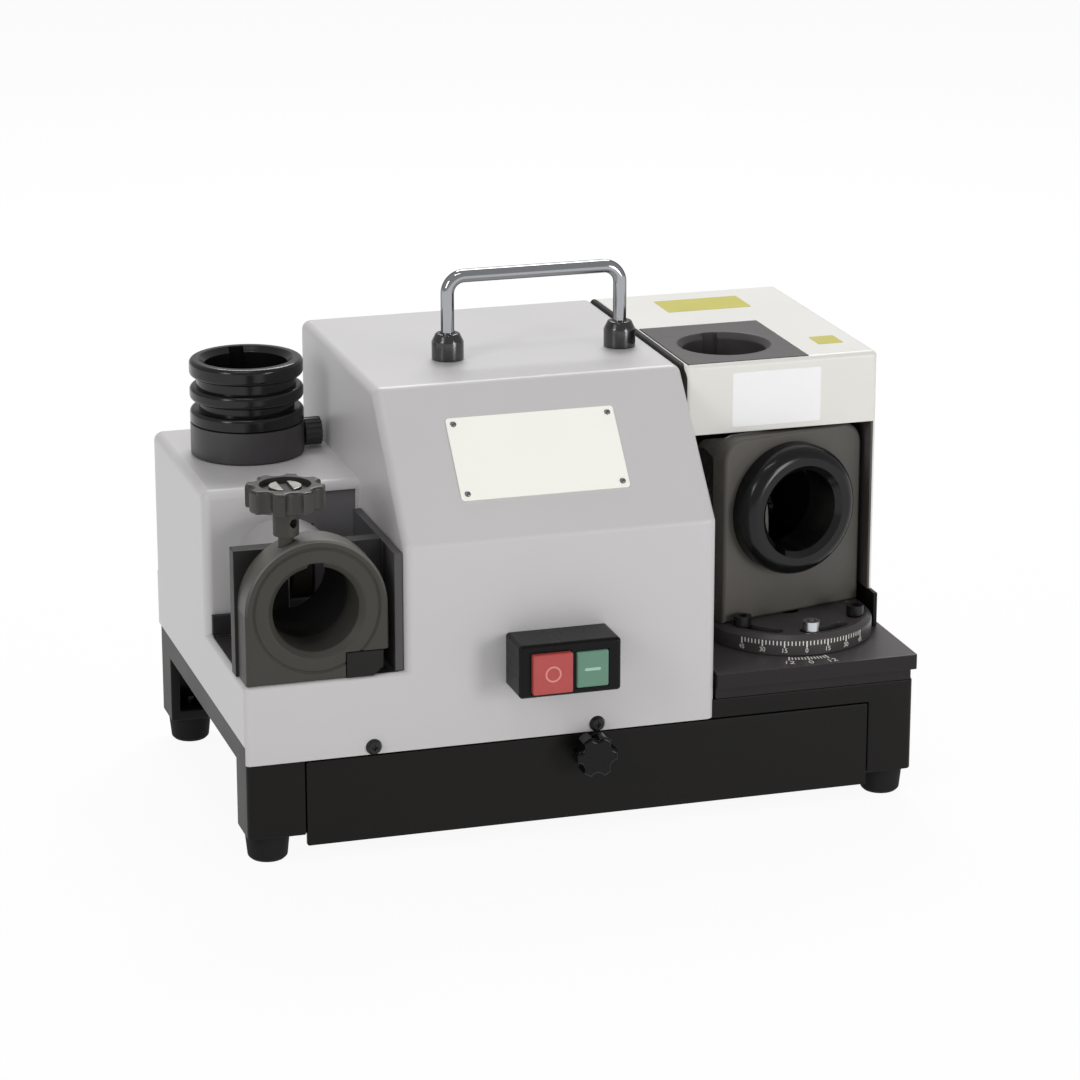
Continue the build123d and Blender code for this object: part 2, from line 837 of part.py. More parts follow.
def switch_body():
    """Contact block: a flange on the cover inside the bezel and a body through the cut-out."""
    width = switch_width - 2 * switch_wall - 2 * seat_gap
    tall = switch_tall - 2 * switch_wall - 2 * seat_gap
    z = switch_center_z()
    contact_front = front_y - switch_depth + switch_face + button_collar_thickness + button_travel + seat_gap
    flange = block(switch_x - width / 2, switch_x + width / 2, contact_front, front_y,
                   z - tall / 2, z + tall / 2)
    body_width = switch_width - 2 * switch_wall - 2 * switch_flange
    body_tall = switch_tall - 2 * switch_wall - 2 * switch_flange
    body = block(switch_x - body_width / 2, switch_x + body_width / 2, front_y, front_y + switch_inside,
                 z - body_tall / 2, z + body_tall / 2)
    return flange + body


def push_button(x, width, tall, proud):
    """One square button with the collar that keeps it behind the bezel face."""
    z = switch_center_z() - button_drop
    face = front_y - switch_depth - proud
    collar_front = front_y - switch_depth + switch_face + seat_gap
    back = collar_front + button_collar_thickness - seat_gap
    cap = block(x - width / 2, x + width / 2, face, back, z - tall / 2, z + tall / 2)
    cap = fillet(cap.faces().sort_by(Axis.Y)[0].edges() + cap.edges().filter_by(Axis.Y), button_edge)
    wide = width / 2 + min(button_collar, button_spacing / 2 - seat_gap)
    return cap + block(x - wide, x + wide, collar_front, back, z - tall / 2, z + tall / 2)


def stop_button():
    """Red stop button."""
    return push_button(*switch_buttons()[0])


def start_button():
    """Green start button."""
    return push_button(*switch_buttons()[1])


def table_screw_places():
    """Where the clamp screws of the swivel stand in the table."""
    turns = [radians(turn) for turn in clamp_screw_turns]
    xs = [pivot_x + clamp_screw_reach * sin(turn) for turn in turns]
    ys = [pivot_y - clamp_screw_reach * cos(turn) for turn in turns]
    return list(zip(xs, ys))


def port_table():
    """Thick plate on the deck, stepped under its right edge."""
    table = block(table_left, machine_right, front_y, back_y, riser_top, table_top)
    table = fillet(table.edges().filter_by(Axis.Z), table_edge)
    table += block(table_left, machine_right - table_undercut, base_front, base_back, deck_top, riser_top)
    table -= rod(pivot_radius + fixed_clearance, table_thickness + overcut, (pivot_x, pivot_y, riser_top))
    for x, y in table_screw_places():
        table -= rod(clamp_shank_radius + fixed_clearance, table_thickness + overcut, (x, y, riser_top))
    x, y = right_chute
    table -= Pos(x, y, riser_top) * Box(chute_width, chute_depth, 2 * (table_riser + table_thickness))
    return table


def chamber_plinth():
    """Black U-shaped skirt between the table and the wheel cover."""
    plinth_front = front_y + plinth_setback
    plinth = block(chamber_left, chamber_right, plinth_front, back_y, table_top, plinth_top)
    return plinth - block(chamber_left + plinth_wall, chamber_right - plinth_wall, plinth_front - overcut,
                          back_y - plinth_wall, table_top - overcut, plinth_top + overcut)


def wheel_cover():
    """Off-white sheet cover, open at the front below its lip and at the bottom."""
    cover = block(chamber_left, chamber_right, chamber_front, back_y, plinth_top, chamber_top)
    cover = softened(cover, chamber_radius, plinth_top)
    inner = (chamber_left + chamber_skin, chamber_right - chamber_skin)
    cover -= block(*inner, chamber_front + chamber_skin, back_y - chamber_skin,
                   plinth_top - overcut, chamber_top - chamber_skin)
    cover -= block(*inner, chamber_front - overcut, chamber_front + chamber_skin + overcut,
                   plinth_top - overcut, chamber_top - lip_drop)
    cover -= block(top_plate_left - seat_gap, top_plate_right + seat_gap, top_plate_front - seat_gap,
                   top_plate_back + seat_gap, chamber_top - chamber_skin - overcut, chamber_top + overcut)
    shaft_start = (chamber_left - overcut, motor_y, motor_z)
    return cover - rod(shaft_hole_radius, chamber_skin + 2 * overcut, shaft_start, RIGHT)


def chamber_liner():
    """Black sheet that lines the wheel cover below its lip, open at the front."""
    left = chamber_left + chamber_skin
    right = chamber_right - chamber_skin
    front = chamber_front + seat_gap
    back = back_y - chamber_skin
    high = chamber_top - lip_drop
    liner = block(left, right, front, back, plinth_top, high)
    liner -= block(left + liner_sheet, right - liner_sheet, front - overcut, back - liner_sheet,
                   plinth_top - overcut, high + overcut)
    shaft_start = (left - overcut, motor_y, motor_z)
    return liner - rod(shaft_hole_radius, liner_sheet + 2 * overcut, shaft_start, RIGHT)


def top_port_plate():
    """Black plate flush in the roof of the wheel cover, flanged under the sheet, with a bored collar."""
    low = chamber_top - top_port_thickness
    plate = block(top_plate_left, top_plate_right, top_plate_front, top_plate_back, low, chamber_top)
    plate += block(top_plate_left, top_plate_right + top_port_flange, top_plate_front,
                   top_plate_back + top_port_flange, low, chamber_top - chamber_skin)
    x, y = top_port
    plate += rod(top_port_collar_radius, top_port_collar_drop, (x, y, low - top_port_collar_drop))
    cutter = port_bore(top_port_thickness + top_port_collar_drop)
    return plate - Plane(origin=(x, y, chamber_top), x_dir=LEFT, z_dir=DOWN) * cutter


def swivel(solid):
    """Set a piece drawn about the pivot into its place at the rest angle."""
    return Pos(pivot_x, pivot_y, 0) * Rot(0, 0, swivel_rest) * solid


def swivel_disc():
    """Graduated disc with an arc slot for each clamp screw."""
    points = [
        (pivot_radius + running_clearance, disc_bottom), (disc_radius, disc_bottom),
        (disc_radius, disc_top - disc_bevel), (disc_radius - disc_bevel, disc_top),
        (pivot_radius + running_clearance, disc_top),
    ]
    disc = turned(points, (0, 0, 0))
    half_width = clamp_shank_radius + clamp_slot_play
    swing = 2 * (swivel_limit + clamp_slot_margin)
    for turn in clamp_screw_turns:
        arc = CenterArc((0, 0), clamp_screw_reach, turn - 90 - swing / 2, swing)
        slot = extrude(SlotArc(arc, 2 * half_width), amount=disc_thickness + 2 * overcut)
        disc -= Pos(0, 0, disc_bottom - overcut) * slot
    for x in (-plate_screw_spread, plate_screw_spread):
        y = (port_plate_back - port_plate_forward) / 2
        disc -= rod(plate_screw_head_radius + fixed_clearance, plate_screw_head_height + overcut,
                    (x, y, disc_bottom - overcut))
        disc -= rod(plate_screw_radius + fixed_clearance, disc_thickness + overcut, (x, y, disc_bottom))
    return swivel(disc)


def swivel_pivot():
    """Pin in the table that the disc turns on."""
    length = table_thickness + seat_gap + disc_thickness - pivot_head_drop
    return rod(pivot_radius, length, (pivot_x, pivot_y, riser_top))


def swivel_clamp_screws():
    """Socket screws that stand in the table and clamp the disc through its slots."""
    head_bottom = disc_top + seat_gap
    head_top = head_bottom + clamp_head_height
    points = [
        (0, riser_top), (clamp_shank_radius, riser_top), (clamp_shank_radius, head_bottom),
        (clamp_head_radius, head_bottom), (clamp_head_radius, head_top), (clamp_socket_radius, head_top),
        (clamp_socket_radius, head_top - clamp_socket_depth), (0, head_top - clamp_socket_depth),
    ]
    return Compound([turned(points, (x, y, 0)) for x, y in table_screw_places()])


def port_plate():
    """Upright plate on the disc, bored for the port ring."""
    half = port_plate_width / 2
    plate = block(-half, half, -port_plate_forward, port_plate_back, disc_top, disc_top + port_plate_height)
    crown = plate.faces().sort_by(Axis.Z)[-1].edges().filter_by(Axis.Y)
    plate = fillet(crown, port_plate_corner)
    front = plate.faces().sort_by(Axis.Y)[0].edges()
    plate = chamfer(front, port_plate_edge)
    plate -= rod(port_spigot_radius + fixed_clearance, port_plate_thickness + 2 * overcut,
                 (-port_axis_offset, -port_plate_forward - overcut, port_axis_z), BACKWARD)
    y = (port_plate_back - port_plate_forward) / 2
    for x in (-plate_screw_spread, plate_screw_spread):
        plate -= rod(plate_screw_radius + fixed_clearance, plate_screw_bite + 2 * overcut,
                     (x, y, disc_top - overcut))
    return swivel(plate)


def port_plate_screws():
    """Screws up through the disc into the port plate."""
    neck = disc_bottom + plate_screw_head_height
    top = disc_top + plate_screw_bite
    points = [
        (0, disc_bottom), (plate_screw_head_radius, disc_bottom), (plate_screw_head_radius, neck),
        (plate_screw_radius, neck), (plate_screw_radius, top), (0, top),
    ]
    y = (port_plate_back - port_plate_forward) / 2
    return Compound([swivel(turned(points, (x, y, 0))) for x in (-plate_screw_spread, plate_screw_spread)])


def port_ring():
    """Glossy locating ring: bevelled front, spigot in the plate, keyed bore."""
    seat = port_ring_reach
    end = seat + port_plate_thickness
    outline = Polyline((0, 0), (port_ring_face, 0))
    bevel_end = (port_ring_radius, port_ring_reach - port_ring_rim)
    outline += SagittaArc((port_ring_face, 0), bevel_end, -port_ring_bulge)
    outline += Polyline(bevel_end, (port_ring_radius, seat), (port_spigot_radius, seat),
                        (port_spigot_radius, end), (0, end), (0, 0))
    ring = revolve(Plane.XZ * make_face(outline), Axis.Z)
    ring -= Rot(0, 0, ring_key_turn) * port_bore(end)
    start = (-port_axis_offset, -port_plate_forward - port_ring_reach, port_axis_z)
    return swivel(Plane(origin=start, x_dir=LEFT, z_dir=BACKWARD) * ring)


def left_port_floor():
    """Black plate in the pocket on two legs, with the chip chute and a guard along the wall of the hump."""
    left = cover_left + pocket_rim + seat_gap
    right = hump_left - pocket_rim - seat_gap
    front = front_y + pocket_rim + seat_gap
    back = box_front - pocket_rim - seat_gap
    low = step_top - floor_thickness
    floor = block(left, right, front, back, low, step_top)
    floor += block(left, left + floor_leg_thickness, front, back, deck_top, low)
    floor += block(right - floor_leg_thickness, right, front, back, deck_top, low)
    floor += block(right - floor_guard_lap, hump_left - seat_gap, front, back,
                   step_top, step_top + floor_guard_height)
    x, y = left_chute
    floor -= Pos(x, y, step_top) * Box(chute_width, chute_depth, 2 * (floor_thickness + overcut))
    for x, y in block_screw_places():
        floor -= rod(block_screw_radius + fixed_clearance, floor_thickness + 2 * overcut,
                     (x, y, low - overcut))
    return floor


def block_screw_places():
    """Where the screws of the left port block come up through the floor."""
    y = front_y + block_screw_setback
    return [(left_port_x - block_screw_spread, y), (left_port_x + block_screw_spread, y)]


def left_port_block():
    """Port block with an arched front, a square back body, a keyed bore and a clamp hole."""
    pillar = Pos(0, -left_port_rise / 2) * Rectangle(2 * left_port_radius, left_port_rise)
    arch = extrude(Circle(left_port_radius) + pillar, amount=left_port_front_depth)
    arch = chamfer(arch.faces().sort_by(Axis.Z)[0].edges(), left_port_edge)
    back_y0 = left_port_back_height - left_port_rise
    back = block(-left_port_back_width / 2, left_port_back_width / 2, -left_port_rise, back_y0,
                 left_port_front_depth, left_port_front_depth + left_port_back_depth)
    depth = left_port_front_depth + left_port_back_depth
    form = arch + back - port_bore(depth)
    groove = Circle(bush_radius + bush_groove_width) - Circle(bush_radius)
    form -= extrude(groove, amount=bush_groove_depth)
    # Local X points left here, because the bore is drawn looking out of its mouth.
    notch_right = -(stop_block_offset - seat_gap)
    form -= block(-left_port_radius - overcut, notch_right, -left_port_rise - overcut,
                  -left_port_rise + stop_block_height + seat_gap, -overcut, stop_block_depth + seat_gap)
    solid = Plane(origin=(left_port_x, front_y, left_port_z), x_dir=LEFT, z_dir=BACKWARD) * form
    solid -= rod(clamp_radius + running_clearance, 2 * left_port_radius, (clamp_x, clamp_y, left_port_z))
    for x, y in block_screw_places():
        solid -= rod(block_screw_radius + fixed_clearance, block_screw_bite + overcut,
                     (x, y, step_top - overcut))
    return solid


def left_port_sleeve():
    """Keyed guide sleeve on the back of the port block, which leads the tool holder towards the wheel."""
    bore = port_bore_radius + sleeve_play
    points = [
        (bore, 0), (sleeve_flange_radius, 0), (sleeve_flange_radius, sleeve_flange),
        (sleeve_radius, sleeve_flange), (sleeve_radius, sleeve_length), (bore, sleeve_length),
    ]
    sleeve = turned(points, (0, 0, 0)) - keyway(sleeve_length)
    return Plane(origin=(left_port_x, left_port_back, left_port_z), x_dir=LEFT, z_dir=BACKWARD) * sleeve


def left_block_screws():
    """Screws from under the floor into the left port block."""
    seat = step_top - floor_thickness
    low = seat - block_screw_head_height
    top = step_top + block_screw_bite - seat_gap
    points = [
        (0, low), (block_screw_head_radius, low), (block_screw_head_radius, seat), (block_screw_radius, seat),
        (block_screw_radius, top), (0, top),
    ]
    return Compound([turned(points, (x, y, 0)) for x, y in block_screw_places()])


def left_stop_block():
    """Small stop in the lower right notch of the port block."""
    left = left_port_x + stop_block_offset
    right = left + stop_block_width
    stop = block(left, right, front_y, front_y + stop_block_depth, step_top, step_top + stop_block_height)
    corner = stop.edges().filter_by(Axis.Y).sort_by(Axis.X)[-2:].sort_by(Axis.Z)[0]
    return chamfer(corner, stop_block_chamfer)


def clamp_pad():
    """Pad at the tip of the clamp screw that presses on the tool holder."""
    return rod(clamp_radius, clamp_pad_length, (clamp_x, clamp_y, clamp_tip))


def clamp_screw():
    """Screw with a thick stem between the block and the knob, and a hole for a tommy bar."""
    tip = clamp_tip + clamp_pad_length
    top = knob_bottom + clamp_knob_height / 2
    points = [
        (0, tip), (clamp_radius, tip), (clamp_radius, stem_bottom), (clamp_stem_radius, stem_bottom),
        (clamp_stem_radius, knob_bottom), (clamp_radius, knob_bottom), (clamp_radius, top), (0, top),
    ]
    screw = turned(points, (clamp_x, clamp_y, 0))
    turn = radians(tommy_hole_turn)
    reach = clamp_stem_radius + overcut
    start = (clamp_x - reach * sin(turn), clamp_y + reach * cos(turn), (stem_bottom + knob_bottom) / 2)
    return screw - rod(tommy_hole_radius, 2 * reach, start, (sin(turn), -cos(turn), 0))


def clamp_knob():
    """Scalloped hand knob of the clamp."""
    head = lobed(clamp_knob_radius, clamp_knob_height, clamp_knob_lobes, clamp_knob_scallop,
                 clamp_knob_bite, clamp_knob_edge)
    head -= rod(clamp_radius + fixed_clearance, clamp_knob_height / 2 + fixed_clearance, (0, 0, 0))
    head -= rod(clamp_knob_recess_radius, clamp_knob_recess_depth,
                (0, 0, clamp_knob_height - clamp_knob_recess_depth))
    return Pos(clamp_x, clamp_y, knob_bottom) * head


def wheel_guard():
    """Black plate behind the opening in the left box, slotted for the left wheel."""
    right = hump_left - guard_strip + guard_lap
    left = hump_left - guard_strip - guard_width - guard_lap
    front = box_front + cover_wall
    low = step_top + guard_strip - guard_lap
    high = box_top - cover_wall - seat_gap
    guard = block(left, right, front, front + guard_sheet, low, high)
    crown = guard.faces().sort_by(Axis.Z)[-1].edges().filter_by(Axis.X).sort_by(Axis.Y)[0]
    guard = fillet(crown, cover_radius - cover_wall)
    middle = (left_wheel_left + left_wheel_right) / 2
    room = left_wheel_width + 2 * guard_wheel_room
    slot = Box(room, 2 * (guard_sheet + overcut), 2 * hub_flange_radius + overcut)
    return guard - Pos(middle, front, motor_z) * slot


def seat_screw_places():
    """Where the screws of the setting seat come up through the box roof."""
    ring = PolarLocations(seat_screw_circle_radius, seat_screw_count, start_angle=90)
    return [(setting_x + place.position.X, setting_y + place.position.Y) for place in ring]


def setting_seat():
    """Fixed seat of the setting station: flanged cup with a spigot for the collar."""
    bore = port_bore_radius + seat_bore_play
    points = [
        (seat_hole_radius, 0), (seat_radius - seat_waist, 0), (seat_radius, seat_waist),
        (seat_radius, seat_height), (spigot_radius, seat_height),
        (spigot_radius, seat_height + spigot_height), (bore, seat_height + spigot_height),
        (bore, seat_floor), (seat_hole_radius, seat_floor),
    ]
    seat = turned(points, (setting_x, setting_y, box_top))
    seat -= rod(thumb_shank_radius + running_clearance, seat_radius, (setting_x, setting_y, thumb_z), RIGHT)
    for x, y in seat_screw_places():
        seat -= rod(seat_screw_radius + fixed_clearance, seat_screw_bite + overcut, (x, y, box_top - overcut))
    return seat


def seat_screws():
    """Screws from inside the left box into the seat."""
    under = box_top - cover_wall
    low = under - seat_screw_head_height
    top = box_top + seat_screw_bite
    points = [
        (0, low), (seat_screw_head_radius, low), (seat_screw_head_radius, under), (seat_screw_radius, under),
        (seat_screw_radius, top), (0, top),
    ]
    return Compound([turned(points, (x, y, 0)) for x, y in seat_screw_places()])


def setting_collar():
    """Rotating collar with three beads, bored for the tool holder."""
    counterbore = spigot_radius + running_clearance
    ledge = spigot_height
    lower_neck = collar_bead_height
    upper_bead = lower_neck + collar_neck_height
    upper_neck = upper_bead + collar_bead_height
    rim = collar_height - collar_rim_height
    points = [
        (counterbore, 0), (collar_radius - collar_foot_edge, 0), (collar_radius, collar_foot_edge),
        (collar_radius, lower_neck), (collar_neck_radius, lower_neck),
        (collar_neck_radius, upper_bead), (collar_radius, upper_bead), (collar_radius, upper_neck),
        (collar_upper_neck_radius, upper_neck), (collar_upper_neck_radius, rim), (collar_radius, rim),
        (collar_radius, collar_height), (port_bore_radius, collar_height), (port_bore_radius, ledge),
        (counterbore, ledge),
    ]
    collar = turned(points, (0, 0, 0))
    beads = [edge for edge in collar.edges().filter_by(GeomType.CIRCLE) if edge.center().Z > collar_edge]
    beads = [edge for edge in beads if abs(edge.radius - collar_radius) < seat_gap]
    collar = fillet(beads, collar_edge)
    mouth = Plane(origin=(0, 0, collar_height), x_dir=LEFT, z_dir=DOWN) * port_bore(collar_height - ledge)
    above_ledge = rod(collar_radius, collar_height, (0, 0, ledge))
    return Pos(setting_x, setting_y, collar_bottom) * (collar - (mouth & above_ledge))


def seat_thumb_screw():
    """Knurled thumb screw in the side of the seat."""
    tip = port_bore_radius + seat_bore_play + seat_gap
    head_start = seat_radius + seat_gap
    screw = rod(thumb_shank_radius, head_start - tip, (setting_x + tip, setting_y, thumb_z), RIGHT)
    grips = PolarLocations(thumb_head_radius, thumb_grips) * Circle(thumb_grip_radius)
    head = extrude(Circle(thumb_head_radius) - grips, amount=thumb_head_length)
    place = Plane(origin=(setting_x + head_start, setting_y, thumb_z), z_dir=RIGHT)
    return screw + place * head


def motor_stator():
    """Wound stator of the motor as a plain shell."""
    points = [
        (stator_bore_radius, 0), (stator_radius, 0),
        (stator_radius, stator_length), (stator_bore_radius, stator_length),
    ]
    return turned(points, (stator_left, motor_y, motor_z), RIGHT)


def motor_end(x, direction):
    """End bell of the motor with its bearing pocket."""
    pocket = bearing_radius + fixed_clearance
    bearing_end = bearing_start + bearing_width
    points = [
        (stator_radius - bell_rim_wall, 0), (stator_radius, 0), (stator_radius, bell_rim),
        (bell_boss_radius, bell_depth), (bell_boss_radius, bell_boss), (bell_hole_radius, bell_boss),
        (bell_hole_radius, bearing_end), (pocket, bearing_end), (pocket, bearing_start),
        (stator_radius - bell_rim_wall, bell_inside),
    ]
    return turned(points, (x, motor_y, motor_z), direction)


def motor_left_end():
    """Left end bell."""
    return motor_end(stator_left, LEFT)


def motor_right_end():
    """Right end bell."""
    return motor_end(stator_right, RIGHT)


def motor_bearings():
    """One ball bearing in each end bell."""
    start = bearing_start
    end = bearing_start + bearing_width
    points = [(spindle_radius, start), (bearing_radius, start), (bearing_radius, end), (spindle_radius, end)]
    left = turned(points, (stator_left, motor_y, motor_z), LEFT)
    right = turned(points, (stator_right, motor_y, motor_z), RIGHT)
    return Compound([left, right])


def rotor():
    """Rotor on the motor shaft."""
    bore = spindle_radius - running_clearance + fixed_clearance
    outer = stator_bore_radius - air_gap
    points = [(bore, 0), (outer, 0), (outer, rotor_length), (bore, rotor_length)]
    return turned(points, (stator_x - rotor_length / 2, motor_y, motor_z), RIGHT)


def spindle_shoulders():
    """X values where the shaft steps down to the left and right wheel seats."""
    return left_wheel_right + hub_flange_width, right_wheel_left - hub_flange_width


def motor_shaft():
    """Shaft through the motor with a reduced seat for a wheel at each end."""
    body = spindle_radius - running_clearance
    left, right = spindle_shoulders()
    beyond = wheel_flange_width + wheel_nut_height + spindle_tail
    left_end = left_wheel_left - beyond
    right_end = right_wheel_right + beyond
    points = [
        (0, left_end), (spindle_end_radius, left_end), (spindle_end_radius, left), (body, left),
        (body, right), (spindle_end_radius, right), (spindle_end_radius, right_end), (0, right_end),
    ]
    return turned(points, (0, motor_y, motor_z), RIGHT)


def wheel_hub(shoulder, width, direction):
    """Flanged hub that carries a wheel on its spigot."""
    bore = spindle_end_radius + fixed_clearance
    end = hub_flange_width + width
    points = [
        (bore, 0), (hub_flange_radius, 0), (hub_flange_radius, hub_flange_width),
        (hub_spigot_radius, hub_flange_width), (hub_spigot_radius, end), (bore, end),
    ]
    return turned(points, (shoulder, motor_y, motor_z), direction)


def outer_flange(x, direction):
    """Flange that the nut presses against the wheel."""
    bore = spindle_end_radius + fixed_clearance
    edge = wheel_flange_width / 2
    points = [
        (bore, 0), (hub_flange_radius, 0), (hub_flange_radius, edge),
        (hub_flange_radius - edge, wheel_flange_width), (bore, wheel_flange_width),
    ]
    return turned(points, (x, motor_y, motor_z), direction)


def wheel_nut(x, direction):
    """Hexagon nut at the end of the shaft."""
    start = (x, motor_y, motor_z)
    bore = rod(spindle_end_radius + fixed_clearance, wheel_nut_height, start, direction)
    return hexagon(wheel_nut_across, wheel_nut_height, start, direction) - bore


def right_wheel():
    """Main grinding wheel with a bevelled face."""
    bore = hub_spigot_radius + fixed_clearance
    points = [
        (bore, 0), (right_wheel_radius - right_wheel_edge, 0), (right_wheel_radius, right_wheel_edge),
        (right_wheel_radius, right_wheel_width), (bore, right_wheel_width),
    ]
    return turned(points, (right_wheel_left, motor_y, motor_z), RIGHT)


def right_wheel_hub():
    """Hub of the main wheel."""
    return wheel_hub(spindle_shoulders()[1], right_wheel_width, RIGHT)


def right_wheel_flange():
    """Outer flange of the main wheel."""
    return outer_flange(right_wheel_right, RIGHT)


def right_wheel_nut():
    """Nut of the main wheel."""
    return wheel_nut(right_wheel_right + wheel_flange_width, RIGHT)


def left_wheel():
    """Thin gashing wheel on the left end of the shaft."""
    bore = hub_spigot_radius + fixed_clearance
    points = [
        (bore, 0), (left_wheel_radius, 0), (left_wheel_radius, left_wheel_width), (bore, left_wheel_width),
    ]
    return turned(points, (left_wheel_left, motor_y, motor_z), RIGHT)


def left_wheel_hub():
    """Hub of the gashing wheel."""
    return wheel_hub(spindle_shoulders()[0], left_wheel_width, LEFT)


def left_wheel_flange():
    """Outer flange of the gashing wheel."""
    return outer_flange(left_wheel_left, LEFT)


def left_wheel_nut():
    """Nut of the gashing wheel."""
    return wheel_nut(left_wheel_left - wheel_flange_width, LEFT)


def motor_cradle():
    """Two saddles on the deck under the stator."""
    saddles = []
    for side in (-1, 1):
        x = stator_x + side * cradle_spacing / 2
        saddle = block(x - cradle_thickness / 2, x + cradle_thickness / 2, motor_y - cradle_half_width,
                       motor_y + cradle_half_width, deck_top, motor_z - stator_radius + cradle_wrap)
        saddles.append(saddle - rod(stator_radius + seat_gap, 2 * stator_length,
                                    (x - stator_length, motor_y, motor_z), RIGHT))
    return Compound(saddles)


def run_capacitor():
    """Run capacitor of the motor, lying on the deck."""
    height = deck_top + capacitor_radius + seat_gap
    start = (capacitor_x - capacitor_length / 2, back_y - capacitor_setback, height)
    return rod(capacitor_radius, capacitor_length, start, RIGHT)


def terminal_block():
    """Terminal strip on the deck with a screw well for each wire."""
    y = back_y - terminal_setback
    strip = block(terminal_x - terminal_width / 2, terminal_x + terminal_width / 2,
                  y - terminal_depth / 2, y + terminal_depth / 2, deck_top, deck_top + terminal_height)
    pitch = terminal_width / terminal_ways
    well = Cylinder(terminal_well_radius, terminal_well_depth, align=(Align.CENTER, Align.CENTER, Align.MAX))
    wells = GridLocations(pitch, terminal_depth / 2, terminal_ways, 2)
    strip -= [Pos(terminal_x, y, deck_top + terminal_height) * place * well for place in wells]
    return strip


def cord_gland():
    """Cord gland through the back skirt: thread, hexagon and domed cap round a bore."""
    wall_inside = base_back - base_wall
    start = (gland_x, wall_inside - gland_inside, gland_height)
    gland = rod(gland_thread_radius, gland_inside + base_wall, start, BACKWARD)
    outside = (gland_x, base_back, gland_height)
    gland += hexagon(gland_hex_across, gland_hex_height, outside, BACKWARD)
    cap = rod(gland_cap_radius, gland_reach, outside, BACKWARD)
    gland += fillet(cap.edges().sort_by(Axis.Y)[-1], gland_cap_edge)
    return gland - rod(gland_bore_radius, gland_inside + base_wall + gland_reach, start, BACKWARD)


def gland_locknut():
    """Nut on the gland inside the base."""
    start = (gland_x, base_back - base_wall, gland_height)
    nut = hexagon(gland_hex_across, locknut_height, start, FORWARD)
    return nut - rod(gland_thread_radius + fixed_clearance, locknut_height, start, FORWARD)


PIECES = [
    base_frame, rubber_feet, foot_screws, chip_tray, tray_knob, tray_runners, main_cover, cover_screws,
    handle, handle_ferrules, handle_nuts, nameplate, nameplate_rivets, switch_bezel, switch_body,
    stop_button, start_button, port_table, chamber_plinth, wheel_cover, chamber_liner, top_port_plate,
    swivel_disc, swivel_pivot, swivel_clamp_screws, port_plate, port_plate_screws, port_ring,
    left_port_floor, left_port_block, left_port_sleeve, left_block_screws, left_stop_block, clamp_pad,
    clamp_screw, clamp_knob, wheel_guard, setting_seat, seat_screws, setting_collar, seat_thumb_screw,
    motor_stator, motor_left_end, motor_right_end, motor_bearings, rotor, motor_shaft, right_wheel,
    right_wheel_hub, right_wheel_flange, right_wheel_nut, left_wheel, left_wheel_hub, left_wheel_flange,
    left_wheel_nut, motor_cradle, run_capacitor, terminal_block, cord_gland, gland_locknut,
]

os.makedirs("parts", exist_ok=True)
for piece in PIECES:
    export_step(piece(), f"parts/{piece.__name__}.step")
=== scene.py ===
import json
from math import asin, atan2, cos, pi, radians, sin

import bmesh
import bpy
from mathutils import Matrix, Vector

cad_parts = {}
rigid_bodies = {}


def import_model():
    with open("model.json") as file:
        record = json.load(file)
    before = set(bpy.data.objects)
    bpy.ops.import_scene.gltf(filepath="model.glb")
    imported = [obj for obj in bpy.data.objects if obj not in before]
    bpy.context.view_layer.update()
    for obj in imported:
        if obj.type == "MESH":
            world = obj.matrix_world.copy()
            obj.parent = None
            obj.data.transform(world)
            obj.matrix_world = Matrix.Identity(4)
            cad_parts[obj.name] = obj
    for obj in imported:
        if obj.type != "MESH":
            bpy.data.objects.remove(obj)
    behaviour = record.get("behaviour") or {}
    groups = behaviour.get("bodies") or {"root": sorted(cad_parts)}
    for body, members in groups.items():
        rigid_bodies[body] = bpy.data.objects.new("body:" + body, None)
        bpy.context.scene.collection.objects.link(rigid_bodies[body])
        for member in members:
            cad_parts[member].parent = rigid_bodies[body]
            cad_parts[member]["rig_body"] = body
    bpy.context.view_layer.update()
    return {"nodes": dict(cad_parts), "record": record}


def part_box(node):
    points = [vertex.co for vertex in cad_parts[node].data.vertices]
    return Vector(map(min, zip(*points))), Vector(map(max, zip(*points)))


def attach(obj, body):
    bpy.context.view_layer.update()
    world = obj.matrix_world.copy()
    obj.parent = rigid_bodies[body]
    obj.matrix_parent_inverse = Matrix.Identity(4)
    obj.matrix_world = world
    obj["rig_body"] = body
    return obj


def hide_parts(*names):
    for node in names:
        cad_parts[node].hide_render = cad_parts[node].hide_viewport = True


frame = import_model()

# Base frame
# A steel box on four legs, open at the sides and cut away in front for the chip tray. It is powder coated
# in black, so its cut edges are softly rounded and its faces have a fine orange peel.

MM = 0.001
SAME_POINT = 0.001 * MM
FLAT_WITHIN, BEVEL_FROM, CREASE_FROM = radians(0.4), radians(38), radians(32)
GLOSS_DRIFT = 0.12
SLOTS = {part["node"]: part["material_slot"] for part in frame["record"]["subparts"]}


def linear(code):
    """A paint colour, written as sRGB hex, in the linear values that a shader takes."""
    parts = [int(code[i:i + 2], 16) / 255 for i in (0, 2, 4)]
    return [((c + 0.055) / 1.055) ** 2.4 if c > 0.04045 else c / 12.92 for c in parts] + [1.0]


def put(tree, kind, sockets=None, **settings):
    """Add one node, apply its settings, and give each named socket a value or a link."""
    node = tree.nodes.new(kind)
    for name, value in settings.items():
        setattr(node, name, value)
    for key, value in (sockets or {}).items():
        if isinstance(value, bpy.types.NodeSocket):
            tree.links.new(value, node.inputs[key])
        else:
            node.inputs[key].default_value = value
    return node


